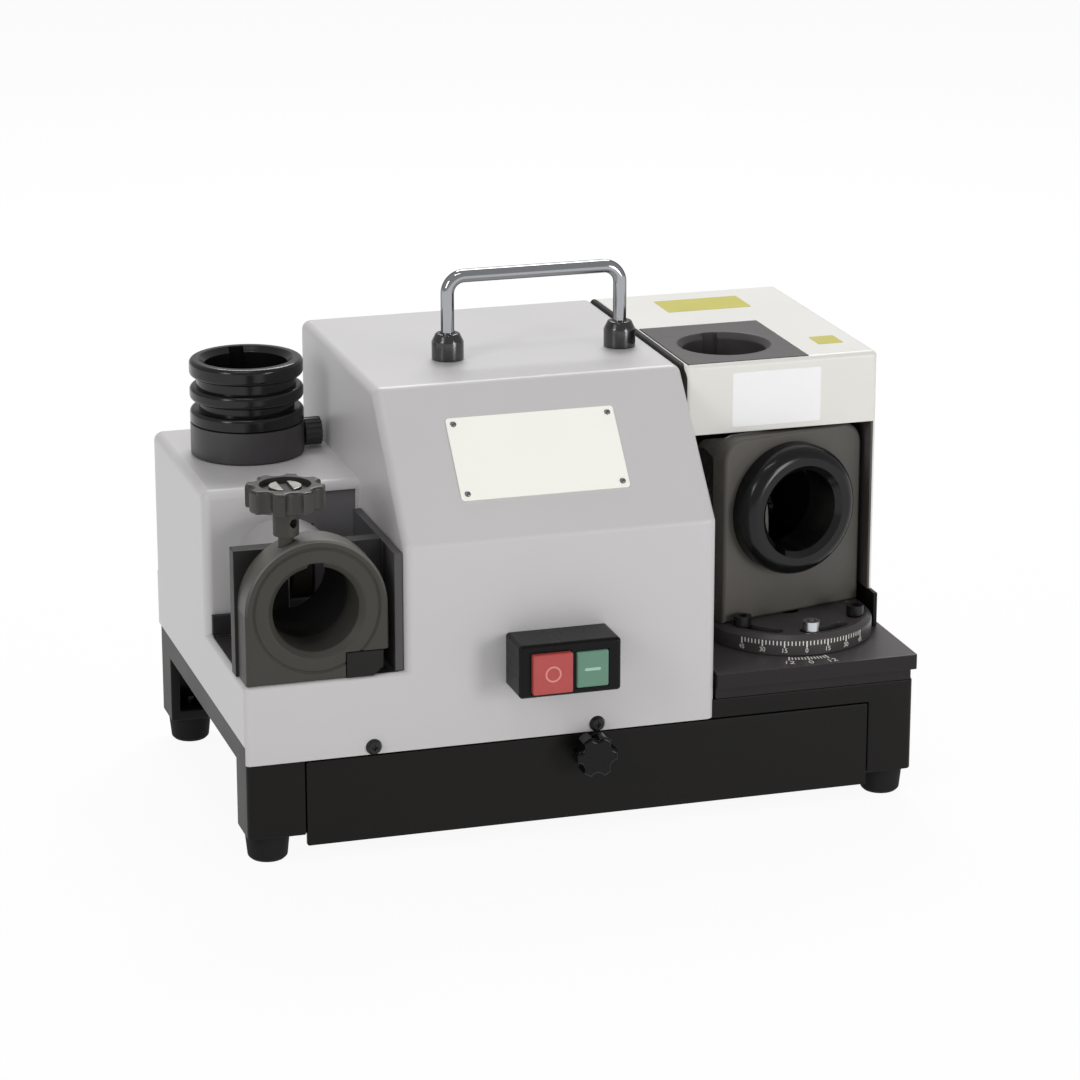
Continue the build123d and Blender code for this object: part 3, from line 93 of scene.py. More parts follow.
def surface(name, colour, rough, grain_mm, relief_mm, cloud_mm=45, cloud=0.05, metal=0.0, specular=0.5,
            lathe=None, edge=1.0):
    """A real finish: one colour that drifts a little in tone and gloss, with a fine relief.

    Most real grains are finer than a millimetre. They are drawn about that coarse, so that they show.
    A turned piece also gives lathe: its middle in mm, its axis, and the pitch and depth of its lines in mm.
    """
    material = bpy.data.materials.new(name)
    material.use_nodes = True
    tree = material.node_tree
    tree.nodes.clear()
    place = put(tree, "ShaderNodeTexCoord").outputs["Object"]
    drift = put(tree, "ShaderNodeTexNoise", {"Vector": place, "Scale": 1 / (cloud_mm * MM), "Detail": 2.0})
    base = linear(colour)
    dark, light = ([c * share for c in base[:3]] + [1.0] for share in (1 - cloud, 1 + cloud))
    tone = put(tree, "ShaderNodeMix", {0: drift.outputs[0], 6: dark, 7: light}, data_type="RGBA")
    gloss = put(tree, "ShaderNodeMapRange", {"Value": drift.outputs[0], "To Min": (1 - GLOSS_DRIFT) * rough,
                                             "To Max": (1 + GLOSS_DRIFT) * rough})
    grain = put(tree, "ShaderNodeTexNoise", {"Vector": place, "Scale": 1 / (grain_mm * MM), "Detail": 3.0})
    bump = put(tree, "ShaderNodeBump", {"Height": grain.outputs[0], "Distance": relief_mm * MM})
    if lathe:
        middle_mm, axis, pitch_mm, depth_mm = lathe
        wave_length = 2 * pi / 20  # of a wave texture whose scale is 1
        centred = put(tree, "ShaderNodeMapping", {"Vector": place, "Location": [-c * MM for c in middle_mm]})
        lines = put(tree, "ShaderNodeTexWave", {"Vector": centred.outputs[0], "Distortion": 0.4,
                                                "Scale": wave_length / (pitch_mm * MM), "Detail": 1.0},
                    wave_type="RINGS", rings_direction=axis)
        bump = put(tree, "ShaderNodeBump", {"Height": lines.outputs["Fac"], "Distance": depth_mm * MM,
                                            "Normal": bump.outputs[0]})
    body = put(tree, "ShaderNodeBsdfPrincipled", {
        "Base Color": tone.outputs[2], "Roughness": gloss.outputs[0], "Normal": bump.outputs[0],
        "Metallic": metal, "Specular IOR Level": specular, "Specular Tint": (edge, edge, edge, 1.0)})
    put(tree, "ShaderNodeOutputMaterial", {"Surface": body.outputs[0]})
    return material


def evaluated(data, prepare):
    """The plain mesh that a mesh or curve leaves, with the modifiers added by prepare."""
    holder = bpy.data.objects.new("work", data)
    bpy.context.scene.collection.objects.link(holder)
    prepare(holder)
    graph = bpy.context.evaluated_depsgraph_get()
    result = bpy.data.meshes.new_from_object(holder.evaluated_get(graph))
    bpy.data.objects.remove(holder)
    return result


def shaded(mesh, material):
    """Smooth a finished mesh over its curves, keep flats flat and corners crisp, and give it one material."""
    mesh.materials.clear()
    mesh.materials.append(material)
    mesh.polygons.foreach_set("material_index", [0] * len(mesh.polygons))
    mesh.shade_smooth()
    mesh.set_sharp_from_angle(angle=CREASE_FROM)

    def prepare(holder):
        flats = holder.modifiers.new("flats", "WEIGHTED_NORMAL")
        flats.keep_sharp = True

    return evaluated(mesh, prepare)


def seated(name, mesh, body, slot, *nodes):
    """Put a finished mesh on its body, and let it stand for the nodes it covers. The slot it is given is not
    used.
    """
    piece = bpy.data.objects.new(name, mesh)
    bpy.context.scene.collection.objects.link(piece)
    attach(piece, body)
    if nodes:
        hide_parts(*nodes)
    return piece


def eased(node, material, edge_mm, segments=2):
    """A copy of a cut, bent or cast piece whose sharp edges are broken, as filing and a coat leave them."""
    mesh = frame["nodes"][node].data.copy()
    work = bmesh.new()
    work.from_mesh(mesh)
    bmesh.ops.remove_doubles(work, verts=work.verts, dist=SAME_POINT)
    bmesh.ops.dissolve_limit(work, angle_limit=FLAT_WITHIN, verts=work.verts, edges=work.edges)
    bmesh.ops.connect_verts_concave(work, faces=work.faces[:])
    work.to_mesh(mesh)
    work.free()

    def prepare(holder):
        bevel = holder.modifiers.new("edge", "BEVEL")
        bevel.width = edge_mm * MM
        bevel.segments = segments
        bevel.limit_method = "ANGLE"
        bevel.angle_limit = BEVEL_FROM
        bevel.use_clamp_overlap = False
        bevel.loop_slide = False

    rounded_off = evaluated(mesh, prepare)
    work = bmesh.new()
    work.from_mesh(rounded_off)
    low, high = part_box(node)
    for vert in work.verts:
        vert.co = [min(max(c, a), b) for c, a, b in zip(vert.co, low, high)]
    bmesh.ops.dissolve_degenerate(work, edges=work.edges, dist=SAME_POINT)
    work.to_mesh(rounded_off)
    work.free()
    finished = shaded(rounded_off, material)
    return seated(node + "_finished", finished, frame["nodes"][node]["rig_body"], SLOTS[node], node)


def closed_mesh(name, work):
    """Turn the faces of a finished form outwards and make it a plain mesh."""
    bmesh.ops.recalc_face_normals(work, faces=work.faces)
    mesh = bpy.data.meshes.new(name)
    work.to_mesh(mesh)
    work.free()
    return mesh


def sheet_strip(name, low_mm, high_mm, material, slot):
    """A plain strip of sheet on the frame, given by two opposite corners."""
    work = bmesh.new()
    bmesh.ops.create_cube(work, size=1.0)
    for vert in work.verts:
        vert.co = [MM * (low if c < 0 else high) for c, low, high in zip(vert.co, low_mm, high_mm)]
    seated(name, shaded(closed_mesh(name, work), material), "frame", slot)


# Powder coat on steel: a satin black with a peel of about 1.5 mm, drawn a little coarse so that it shows.
black_powder_coat = surface("black_powder_coat_on_steel", "141211", rough=0.42, grain_mm=1.5, relief_mm=0.05,
                            specular=0.16)
eased("base_frame", black_powder_coat, edge_mm=0.9)

# The edge of each side arch is folded down by a few millimetres. A fold laps onto the deck's edge, tucks
# into the legs, and lies a hair behind their outer faces.
SHEET, LEG_DEPTH, DECK_BOTTOM = 1.2, 25.0, 57.0
FOLD, FOLD_LAP, FOLD_TUCK, FOLD_SINK = 6.5, 1.2, 1.0, 0.02
BASE_LOW, BASE_HIGH = (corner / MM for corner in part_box("base_frame"))
fold_front, fold_back = BASE_LOW.y + LEG_DEPTH - FOLD_TUCK, BASE_HIGH.y - LEG_DEPTH + FOLD_TUCK
for side, outer in (("left", BASE_LOW.x + FOLD_SINK), ("right", BASE_HIGH.x - SHEET - FOLD_SINK)):
    sheet_strip(f"{side}_arch_fold", (outer, fold_front, DECK_BOTTOM - FOLD),
                (outer + SHEET, fold_back, DECK_BOTTOM + FOLD_LAP), black_powder_coat, SLOTS["base_frame"])

# The tray panel closes on two thin jambs, which lie behind its ends and cover the slits there.
PANEL_THICK, JAMB_LAP, JAMB_TUCK, JAMB_TOP = 3.3, 2.2, 1.0, 53.4
PANEL_LOW, PANEL_HIGH = (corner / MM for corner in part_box("chip_tray"))
panel_back = BASE_LOW.y + PANEL_THICK
for side, start, end in (("left", PANEL_LOW.x - JAMB_TUCK, PANEL_LOW.x + JAMB_LAP),
                         ("right", PANEL_HIGH.x - JAMB_LAP, PANEL_HIGH.x + JAMB_TUCK)):
    sheet_strip(f"{side}_tray_jamb", (start, panel_back, BASE_LOW.z), (end, panel_back + SHEET, JAMB_TOP),
                black_powder_coat, SLOTS["base_frame"])

# Rubber feet
# Four tapered black rubber feet, each held by a screw up through a recess into a pad of the base. They are
# moulded and solid, and dust clings to them.

# Moulded rubber: a dull soft black with dusty patches.
moulded_rubber = surface("moulded_foot_rubber", "1b1a1a", rough=0.78, grain_mm=1.0, relief_mm=0.06,
                         cloud_mm=9, cloud=0.14, specular=0.2)
eased("rubber_feet", moulded_rubber, edge_mm=0.4)

# Chip tray
# A folded sheet drawer behind a flush front panel, which slides out on two angle rails under the deck and is
# pulled by a scalloped knob. Panel and rails are coated like the base, and the knob is moulded plastic.


def kept(node, material):
    """A piece whose solid already has its final shape: it only gets its finish."""
    mesh = frame["nodes"][node].data
    mesh.materials.clear()
    mesh.materials.append(material)


# Polished moulding: a deep black plastic from a polished mould, shinier than the switch housing.
polished_moulding = surface("polished_knob_moulding", "0c0c0c", rough=0.14, grain_mm=0.9, relief_mm=0.01,
                            cloud_mm=14, cloud=0.08, specular=0.2)
eased("chip_tray", black_powder_coat, edge_mm=0.5)
kept("tray_runners", black_powder_coat)
kept("tray_knob", polished_moulding)

# Main cover
# One folded and welded sheet: a low step in front of the left box, and the hump with its sloped front. It is
# sprayed in a smooth silver grey, with rounded folds and a paint that is even all over.

# Silver spray paint: flat and fairly dull, with only a trace of peel and a slow drift in tone.
silver_spray_paint = surface("silver_grey_spray_paint", "c8c6c7", rough=0.38, grain_mm=2.2, relief_mm=0.012,
                             cloud_mm=90, cloud=0.02)
eased("main_cover", silver_spray_paint, edge_mm=0.3)

# Cover screws
# Two dark pan-head screws with cross recesses hold the apron of the cover to the base. The screws of the feet
# have the same blackened finish.


def node_group(name, inputs):
    """A new geometry tree with named inputs and one geometry output."""
    tree = bpy.data.node_groups.new(name, "GeometryNodeTree")
    for label, kind in inputs.items():
        tree.interface.new_socket(label, in_out="INPUT", socket_type="NodeSocket" + kind)
    tree.interface.new_socket("Geometry", in_out="OUTPUT", socket_type="NodeSocketGeometry")
    return tree, put(tree, "NodeGroupInput").outputs


def grown(tree, geometry, finish, values):
    """End a tree in one realised mesh of one finish, set its inputs, and return the plain mesh."""
    real = put(tree, "GeometryNodeRealizeInstances", {"Geometry": geometry})
    coated = put(tree, "GeometryNodeSetMaterial", {"Geometry": real.outputs[0], "Material": finish})
    put(tree, "NodeGroupOutput", {"Geometry": coated.outputs[0]})

    def prepare(holder):
        modifier = holder.modifiers.new("repeat", "NODES")
        modifier.node_group = tree
        for socket in tree.interface.items_tree:
            if socket.in_out == "INPUT":
                modifier[socket.identifier] = values[socket.name]

    return evaluated(bpy.data.meshes.new(tree.name), prepare)


CROWN_SHARE = 0.36
SCREW_LOW, SCREW_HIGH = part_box("cover_screws")
SCREW_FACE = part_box("main_cover")[0].y
head_width = SCREW_HIGH.z - SCREW_LOW.z
screw_head = {"Head": head_width, "Height": SCREW_FACE - SCREW_LOW.y,
              "Spacing": SCREW_HIGH.x - SCREW_LOW.x - head_width, "Slot": 0.9 * MM}
tree, size = node_group("cross_head_screws", dict.fromkeys(screw_head, "Float"))
half = put(tree, "ShaderNodeMath", {0: size["Head"], 1: 0.5}, operation="MULTIPLY").outputs[0]
crown = put(tree, "ShaderNodeMath", {0: size["Head"], 1: CROWN_SHARE}, operation="MULTIPLY").outputs[0]
cup = put(tree, "GeometryNodeMeshCone", {"Vertices": 40, "Side Segments": 3, "Radius Top": crown,
                                         "Radius Bottom": half, "Depth": size["Height"]}).outputs[0]
cut = put(tree, "GeometryNodeMeshBoolean", {0: cup}, operation="DIFFERENCE", solver="EXACT")
for along, across in ((0, 1), (1, 0)):
    extent = put(tree, "ShaderNodeCombineXYZ", {along: crown, across: size["Slot"], 2: size["Height"]})
    bar = put(tree, "GeometryNodeMeshCube", {"Size": extent.outputs[0]})
    lift = put(tree, "ShaderNodeCombineXYZ", {2: size["Height"]})
    raised = put(tree, "GeometryNodeTransform", {"Geometry": bar.outputs[0], "Translation": lift.outputs[0]})
    tree.links.new(raised.outputs[0], cut.inputs[1])
gap = put(tree, "ShaderNodeCombineXYZ", {0: size["Spacing"]})
row = put(tree, "GeometryNodeMeshLine", {"Count": 2, "Offset": gap.outputs[0]})
heads = put(tree, "GeometryNodeInstanceOnPoints", {"Points": row.outputs[0], "Instance": cut.outputs[0]})
# Blackened steel: nearly black, with a dull metal glint on the edges of the recess.
blackened_steel = surface("blackened_screw_steel", "2c2b2c", rough=0.34, grain_mm=0.8, relief_mm=0.02,
                          cloud_mm=5, cloud=0.2, metal=0.7)
screws = grown(tree, heads.outputs[0], blackened_steel, screw_head)
first = Vector((SCREW_LOW.x + head_width / 2, SCREW_FACE, (SCREW_LOW.z + SCREW_HIGH.z) / 2))
screws.transform(Matrix.Translation(first) @ Matrix.Rotation(radians(90), 4, "X"))
seated("cover_screw_heads", shaded(screws, blackened_steel), "frame", "dark_screw", "cover_screws")
kept("foot_screws", blackened_steel)

# Carrying handle
# A round rod, bent twice and chromed, whose threaded ends go through the roof into nuts. A glossy black
# collar hides each hole.

HANDLE_BEND, HANDLE_STEPS = 9 * MM, 16
HANDLE_LOW, HANDLE_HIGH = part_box("handle")


def quarter_turn(steps):
    """The angles of a quarter turn in equal steps, for a bend or a round corner."""
    return [step * pi / 2 / steps for step in range(steps + 1)]


def bent_rod(name, route, radius):
    """A round rod along a list of points, closed at both ends, as one plain mesh."""
    curve = bpy.data.curves.new(name, "CURVE")
    curve.dimensions = "3D"
    line = curve.splines.new("POLY")
    line.points.add(len(route) - 1)
    for point, place in zip(line.points, route):
        point.co = (*place, 1)
    curve.bevel_depth = radius
    curve.bevel_resolution = 8
    curve.use_fill_caps = True
    return evaluated(curve, lambda holder: None)


rod_radius = (HANDLE_HIGH.y - HANDLE_LOW.y) / 2
left_foot, right_foot = HANDLE_LOW.x + rod_radius, HANDLE_HIGH.x - rod_radius
handle_y = (HANDLE_LOW.y + HANDLE_HIGH.y) / 2
rail = HANDLE_HIGH.z - rod_radius
route = [(left_foot, handle_y, HANDLE_LOW.z)]
for x, inward in ((left_foot, 1), (right_foot, -1)):
    route += [(x + inward * HANDLE_BEND * (1 - cos(angle)), handle_y, rail - HANDLE_BEND * (1 - sin(angle)))
              for angle in quarter_turn(HANDLE_STEPS)[::inward]]
route.append((right_foot, handle_y, HANDLE_LOW.z))
# Chrome on steel: a clear mirror with the faint ripple of a rod that was bent before it was plated.
# Its edge tint is nearly black, which paints dark reflections along the edges of the rod.
chrome_plate = surface("chrome_plated_rod", "a8a9ac", rough=0.08, grain_mm=6, relief_mm=0.03, cloud_mm=12,
                       cloud=0.05, metal=1.0, edge=0.05)
bar = shaded(bent_rod("handle_rod", route, rod_radius), chrome_plate)
seated("handle_bar", bar, "frame", "chrome", "handle")
# Glossy moulded plastic: deep black with sharp bright reflections.
glossy_black = surface("glossy_black_plastic", "0e0e0f", rough=0.2, grain_mm=3, relief_mm=0.01, cloud_mm=10,
                       cloud=0.1, specular=1.0)
eased("handle_ferrules", glossy_black, edge_mm=0.7, segments=3)
# Zinc plate on steel: a bright bluish silver with a soft mirror.
zinc_steel = surface("zinc_plated_steel", "c9ccd0", rough=0.24, grain_mm=1.2, relief_mm=0.01, cloud_mm=6,
                     cloud=0.08, metal=1.0)
kept("handle_nuts", zinc_steel)

# Nameplate
# A thin aluminium plate, lacquered in a pale cream and left blank here. Four small dome rivets fix it to the
# slope, one in each corner.

SLOPE_RUN, SLOPE_RISE = 59.2, 66.7
PLATE_HEIGHT, PLATE_THICK, RIVET_INSET = 46.5 * MM, 0.8 * MM, 3.6 * MM
PLATE_LOW, PLATE_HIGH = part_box("nameplate")
plate_middle = (PLATE_LOW + PLATE_HIGH) / 2
on_slope = Matrix.Translation(plate_middle) @ Matrix.Rotation(atan2(SLOPE_RISE, SLOPE_RUN), 4, "X")
# Lacquered aluminium: an even warm white, smooth with a soft gloss.
cream_lacquer = surface("cream_lacquered_plate", "fffff7", rough=0.34, grain_mm=1.6, relief_mm=0.006,
                        cloud_mm=30, cloud=0.01)
eased("nameplate", cream_lacquer, edge_mm=0.18)

rivet = {"Across": PLATE_HIGH.x - PLATE_LOW.x - 2 * RIVET_INSET, "Upward": PLATE_HEIGHT - 2 * RIVET_INSET,
         "Radius": 1.6 * MM, "Flatten": 0.5}
tree, size = node_group("corner_rivets", dict.fromkeys(rivet, "Float"))
grid = put(tree, "GeometryNodeMeshGrid", {"Size X": size["Across"], "Size Y": size["Upward"],
                                          "Vertices X": 2, "Vertices Y": 2})
ball = put(tree, "GeometryNodeMeshUVSphere", {"Segments": 24, "Rings": 12, "Radius": size["Radius"]})
press = put(tree, "ShaderNodeCombineXYZ", {0: 1.0, 1: 1.0, 2: size["Flatten"]})
dome = put(tree, "GeometryNodeTransform", {"Geometry": ball.outputs[0], "Scale": press.outputs[0]})
rivets = put(tree, "GeometryNodeInstanceOnPoints", {"Points": grid.outputs[0], "Instance": dome.outputs[0]})
# Soft aluminium: a grey metal, dulled by the punch.
rivet_metal = surface("punched_aluminium_rivet", "77787a", rough=0.3, grain_mm=0.7, relief_mm=0.03,
                      cloud_mm=2, cloud=0.12, metal=1.0)
rivets = grown(tree, rivets.outputs[0], rivet_metal, rivet)
rivets.transform(on_slope @ Matrix.Translation((0, 0, PLATE_THICK / 2)))
seated("nameplate_rivet_heads", shaded(rivets, rivet_metal), "frame", SLOTS["nameplate_rivets"],
       "nameplate_rivets")

# Start and stop switch
# A hollow black plastic housing screwed over the contact block, with a red stop button that stands proud and
# a green start button. Each button has the usual plain ring or bar printed on it.

# Moulded black plastic: an even black with a soft gloss and the fine grain of the mould.
moulded_black = surface("moulded_black_plastic", "0f0f0f", rough=0.28, grain_mm=0.9, relief_mm=0.015,
                        cloud_mm=14, cloud=0.08, specular=0.14)
# Moulded buttons: saturated plastic with a soft gloss and a slight depth of colour.
red_plastic = surface("red_button_plastic", "b24a48", rough=0.34, grain_mm=1.0, relief_mm=0.01, cloud_mm=8,
                      cloud=0.05, specular=0.4)
green_plastic = surface("green_button_plastic", "628a76", rough=0.34, grain_mm=1.0, relief_mm=0.01,
                        cloud_mm=8, cloud=0.05, specular=0.4)
# Worn pad print: a thin matt white, through which the colour of the button shows.
worn_ink_on_red = surface("worn_pad_ink_on_red", "d98a86", rough=0.5, grain_mm=1.0, relief_mm=0.004,
                          cloud_mm=6, cloud=0.03)
worn_ink_on_green = surface("worn_pad_ink_on_green", "a3c6b4", rough=0.5, grain_mm=1.0, relief_mm=0.004,
                            cloud_mm=6, cloud=0.03)
kept("switch_bezel", moulded_black)
kept("switch_body", moulded_black)
kept("stop_button", red_plastic)
kept("start_button", green_plastic)

CORNER_STEPS = 4
INK_THICK, INK_SINK = 0.05 * MM, 0.03 * MM
PRINT_WIDTH = 8.5 * MM
STOP_LINE, STOP_CORNER = 0.9 * MM, 4.24 * MM
BAR_HEIGHT, BAR_LINE, BAR_CORNER = 1.5 * MM, 0.74 * MM, 0.745 * MM


def rounded(width, height, corner, inset=0):
    """The outline of a rectangle with round corners, moved inwards by an inset."""
    ring = []
    for quarter, (sx, sy) in enumerate(((1, 1), (-1, 1), (-1, -1), (1, -1))):
        for angle in quarter_turn(CORNER_STEPS):
            angle += quarter * pi / 2
            ring.append((sx * (width / 2 - corner) + (corner - inset) * cos(angle),
                         sy * (height / 2 - corner) + (corner - inset) * sin(angle)))
    return ring


def printed(name, width, height, line, corner, node, ink):
    """Lay a thin printed frame on the front face of a button, on the button's own body."""
    rings = [rounded(width, height, corner, inset) for inset in (0, line)]
    work = bmesh.new()
    loops = [[work.verts.new((x, y, z)) for x, y in ring] for z in (0, INK_THICK) for ring in rings]
    count = len(loops[0])
    for a, b in ((0, 2), (2, 3), (3, 1), (1, 0)):
        for i in range(count):
            j = (i + 1) % count
            work.faces.new((loops[a][i], loops[a][j], loops[b][j], loops[b][i]))
    mesh = closed_mesh(name, work)
    low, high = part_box(node)
    face = Vector(((low.x + high.x) / 2, low.y + INK_SINK, (low.z + high.z) / 2))
    mesh.transform(Matrix.Translation(face) @ Matrix.Rotation(radians(90), 4, "X"))
    seated(name, shaded(mesh, ink), frame["nodes"][node]["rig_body"], SLOTS[node])


printed("stop_ring", PRINT_WIDTH, PRINT_WIDTH, STOP_LINE, STOP_CORNER, "stop_button", worn_ink_on_red)
printed("start_bar", PRINT_WIDTH, BAR_HEIGHT, BAR_LINE, BAR_CORNER, "start_button", worn_ink_on_green)

# Port table
# A thick iron table on the deck, in front of the right grinding wheel. Its edges are painted, and its top is
# ground flat and blackened, so that the swivel disc can slide on it.

FACING_UP = 0.7
# Hammered table paint: a dark warm grey, duller than the base.
table_paint = surface("dark_grey_machine_paint", "292627", rough=0.29, grain_mm=1.6, relief_mm=0.03,
                      cloud_mm=30, cloud=0.05, specular=0.15)
# Ground and blackened top: paler than the painted edge, which also paints the soft sheen that the flat top
# takes from the light.
ground_top_and_sheen = surface("ground_top_painted_sheen", "4b4749", rough=0.36, grain_mm=1.2, relief_mm=0.02,
                        cloud_mm=20, cloud=0.06, specular=0.3)
port_table = eased("port_table", table_paint, edge_mm=0.5).data
port_table.materials.append(ground_top_and_sheen)
# Faces turned up take the paler top finish, with its painted sheen.
for face in port_table.polygons:
    face.material_index = int(face.normal.z > FACING_UP)

# Wheel cover
# A folded sheet cover over the right grinding wheel, enamelled off-white. It stands on a black skirt round
# the back of the table, and a black sheet liner inside it takes the sparks.

# Off-white enamel: a clean warm white, smooth, with a low gloss.
off_white_enamel = surface("off_white_enamel", "e3e2dd", rough=0.36, grain_mm=2.4, relief_mm=0.012,
                           cloud_mm=80, cloud=0.015)
# Sooty liner: black paint that is greyed by years of grinding dust. As a dark sheet it also paints the deep
# shade inside the cover's right wall.
dusty_liner_and_shade = surface("dusty_liner_painted_shade", "5c5957", rough=0.6, grain_mm=1.2, relief_mm=0.03, cloud_mm=18,
                      cloud=0.15, specular=0.2)
eased("chamber_plinth", black_powder_coat, edge_mm=0.5)
eased("wheel_cover", off_white_enamel, edge_mm=0.2)
eased("chamber_liner", dusty_liner_and_shade, edge_mm=0.3)

# Cover seal
# A round bead of extruded rubber, pushed over the left edge of the wheel cover. It closes the gap to the hump
# along the roof, and bends down the front.

# The bead's black fills the gap between the covers as painted shade.
SEAL_RADIUS, SEAL_BEND, SEAL_STEPS, SEAL_END, SEAL_SINK = 2.3, 6.0, 8, 192.0, 0.3
COVER_LOW, COVER_HIGH = (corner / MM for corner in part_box("wheel_cover"))
seal_x, seal_front, seal_top = COVER_LOW.x - SEAL_SINK, COVER_LOW.y + SEAL_RADIUS, COVER_HIGH.z - SEAL_RADIUS
seal_route = [(seal_x, COVER_HIGH.y - SEAL_RADIUS, seal_top)]
seal_route += [(seal_x, seal_front + SEAL_BEND * (1 - sin(angle)), seal_top - SEAL_BEND * (1 - cos(angle)))
               for angle in quarter_turn(SEAL_STEPS)]
seal_route.append((seal_x, seal_front, SEAL_END))
# Extruded rubber: a soft, nearly matt black, which also stands as painted shade in the gap between the
# covers.
seal_rubber_and_gap_shade = surface("seal_rubber_painted_gap_shade", "141313", rough=0.6, grain_mm=0.8, relief_mm=0.03, cloud_mm=10,
                      cloud=0.1, specular=0.2)
seal = bent_rod("seal_bead", [[c * MM for c in point] for point in seal_route], SEAL_RADIUS * MM)
seated("cover_seal_gap_shade", shaded(seal, seal_rubber_and_gap_shade), "frame", SLOTS["chamber_plinth"])

# Labels
# A blank paper label on the lip of the wheel cover, and two blank stickers of yellow film on its roof. They
# are cut with round corners and pressed on.

LABEL_CORNER, LABEL_THICK = 1.2, 0.15


def slab(work, points, low, high):
    """Raise a flat outline into a plate between two heights."""
    face = work.faces.new([work.verts.new((x, y, low)) for x, y in points])
    grow = bmesh.ops.extrude_face_region(work, geom=[face])["geom"]
    bmesh.ops.translate(work, verts=[v for v in grow if isinstance(v, bmesh.types.BMVert)],
                        vec=(0, 0, high - low))


def sticker(name, material, width_mm, height_mm, place_mm, upright=False):
    """A blank sticker, pressed flat on the roof of the wheel cover or, upright, on its front."""
    work = bmesh.new()
    slab(work, [(x * MM, y * MM) for x, y in rounded(width_mm, height_mm, LABEL_CORNER)], 0, LABEL_THICK * MM)
    mesh = closed_mesh(name, work)
    turn = Matrix.Rotation(radians(90), 4, "X") if upright else Matrix.Identity(4)
    mesh.transform(Matrix.Translation([c * MM for c in place_mm]) @ turn)
    seated(name, shaded(mesh, material), "frame", "off_white_paint")


# Coated paper: bright white and nearly matt. The stickers are a plain yellow film with a low gloss.
white_paper = surface("white_coated_paper", "f6f5f7", rough=0.5, grain_mm=1.2, relief_mm=0.01, cloud_mm=12,
                      cloud=0.02)
yellow_film = surface("yellow_sticker_film", "beb63b", rough=0.4, grain_mm=1.5, relief_mm=0.008, cloud_mm=15,
                      cloud=0.04)
sticker("lip_label", white_paper, width_mm=49, height_mm=29, place_mm=(120.5, COVER_LOW.y, 207.5),
        upright=True)
sticker("roof_strip", yellow_film, width_mm=48, height_mm=26, place_mm=(123, 81, COVER_HIGH.z))
sticker("roof_mark", yellow_film, width_mm=14, height_mm=16, place_mm=(159, -14, COVER_HIGH.z))

# Top port
# A black plate let in flush with the roof of the wheel cover, with a bored collar under it for the holder. It
# is machined from iron and phosphated, so it is a soft black all over.

# Phosphated iron: a soft black with a mottled, nearly matt grain.
phosphated_iron = surface("phosphated_iron", "413e3e", rough=0.5, grain_mm=1.3, relief_mm=0.04, cloud_mm=10,
                          cloud=0.1, specular=0.3)
eased("top_port_plate", phosphated_iron, edge_mm=0.5)

# Swivelling port
# A graduated disc turns on a pin in the table and is clamped by three socket screws through arc slots. It
# carries an upright iron plate, and a polished black ring that the tool holder slides into.

PIVOT_LOW, PIVOT_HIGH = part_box("swivel_pivot")
DISC_LOW, DISC_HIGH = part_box("swivel_disc")
RING_LOW, RING_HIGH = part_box("port_ring")
LATHE_PITCH, LATHE_DEPTH = 1.6, 0.012
pivot = Vector(((PIVOT_LOW.x + PIVOT_HIGH.x) / 2, (PIVOT_LOW.y + PIVOT_HIGH.y) / 2, 0))
disc_radius = (DISC_HIGH.x - DISC_LOW.x) / 2
# Machined and darkened iron: a warm dark grey, satin, with a fine milled grain.
darkened_iron = surface("machined_darkened_iron", "54514c", rough=0.44, grain_mm=1.2, relief_mm=0.035,
                        cloud_mm=14, cloud=0.08, specular=0.35)
# Polished black oxide: deep black with a clear gloss and the fine rings of the lathe.
ring_middle = [c / MM for c in (RING_LOW + RING_HIGH) / 2]
ring_oxide = surface("polished_black_oxide_ring", "121213", rough=0.20, grain_mm=1.0, relief_mm=0.01,
                     cloud_mm=16, cloud=0.1, specular=0.3, lathe=(ring_middle, "Y", LATHE_PITCH, LATHE_DEPTH))
# Turned black oxide: a dark grey from handling, satin, with the rings of the lathe about the pin.
disc_oxide = surface("turned_black_oxide_disc", "423f40", rough=0.34, grain_mm=1.0, relief_mm=0.02,
                     cloud_mm=14, cloud=0.1, specular=0.3,
                     lathe=([c / MM for c in pivot], "Z", LATHE_PITCH, LATHE_DEPTH))
eased("swivel_disc", disc_oxide, edge_mm=0.4)
eased("port_plate", darkened_iron, edge_mm=0.5)
kept("port_ring", ring_oxide)
kept("swivel_pivot", zinc_steel)
kept("port_plate_screws", blackened_steel)

# The outer clamp screws are blackened, and the middle one, which is loosened the most, is bright.
MIDDLE_SCREW_REACH = 10 * MM
clamp_screws = frame["nodes"]["swivel_clamp_screws"].data.copy()
clamp_screws.materials.clear()
for finish in (blackened_steel, zinc_steel):
    clamp_screws.materials.append(finish)
for face in clamp_screws.polygons:
    face.material_index = int(abs(face.center.x - pivot.x) < MIDDLE_SCREW_REACH)
seated("swivel_clamp_screw_set", clamp_screws, frame["nodes"]["swivel_clamp_screws"]["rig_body"],
       SLOTS["swivel_clamp_screws"], "swivel_clamp_screws")

# Disc and table scales
# Degree marks and plain numbers round the rim of the disc, and a short scale in front of it on the table.
# They are pad printed in white, so they stand proud by no more than the ink.

# Pad print on metal: a thin, even, matt white.
white_ink = surface("white_pad_ink", "e9e6e0", rough=0.5, grain_mm=1.0, relief_mm=0.004, cloud_mm=6,
                    cloud=0.03)


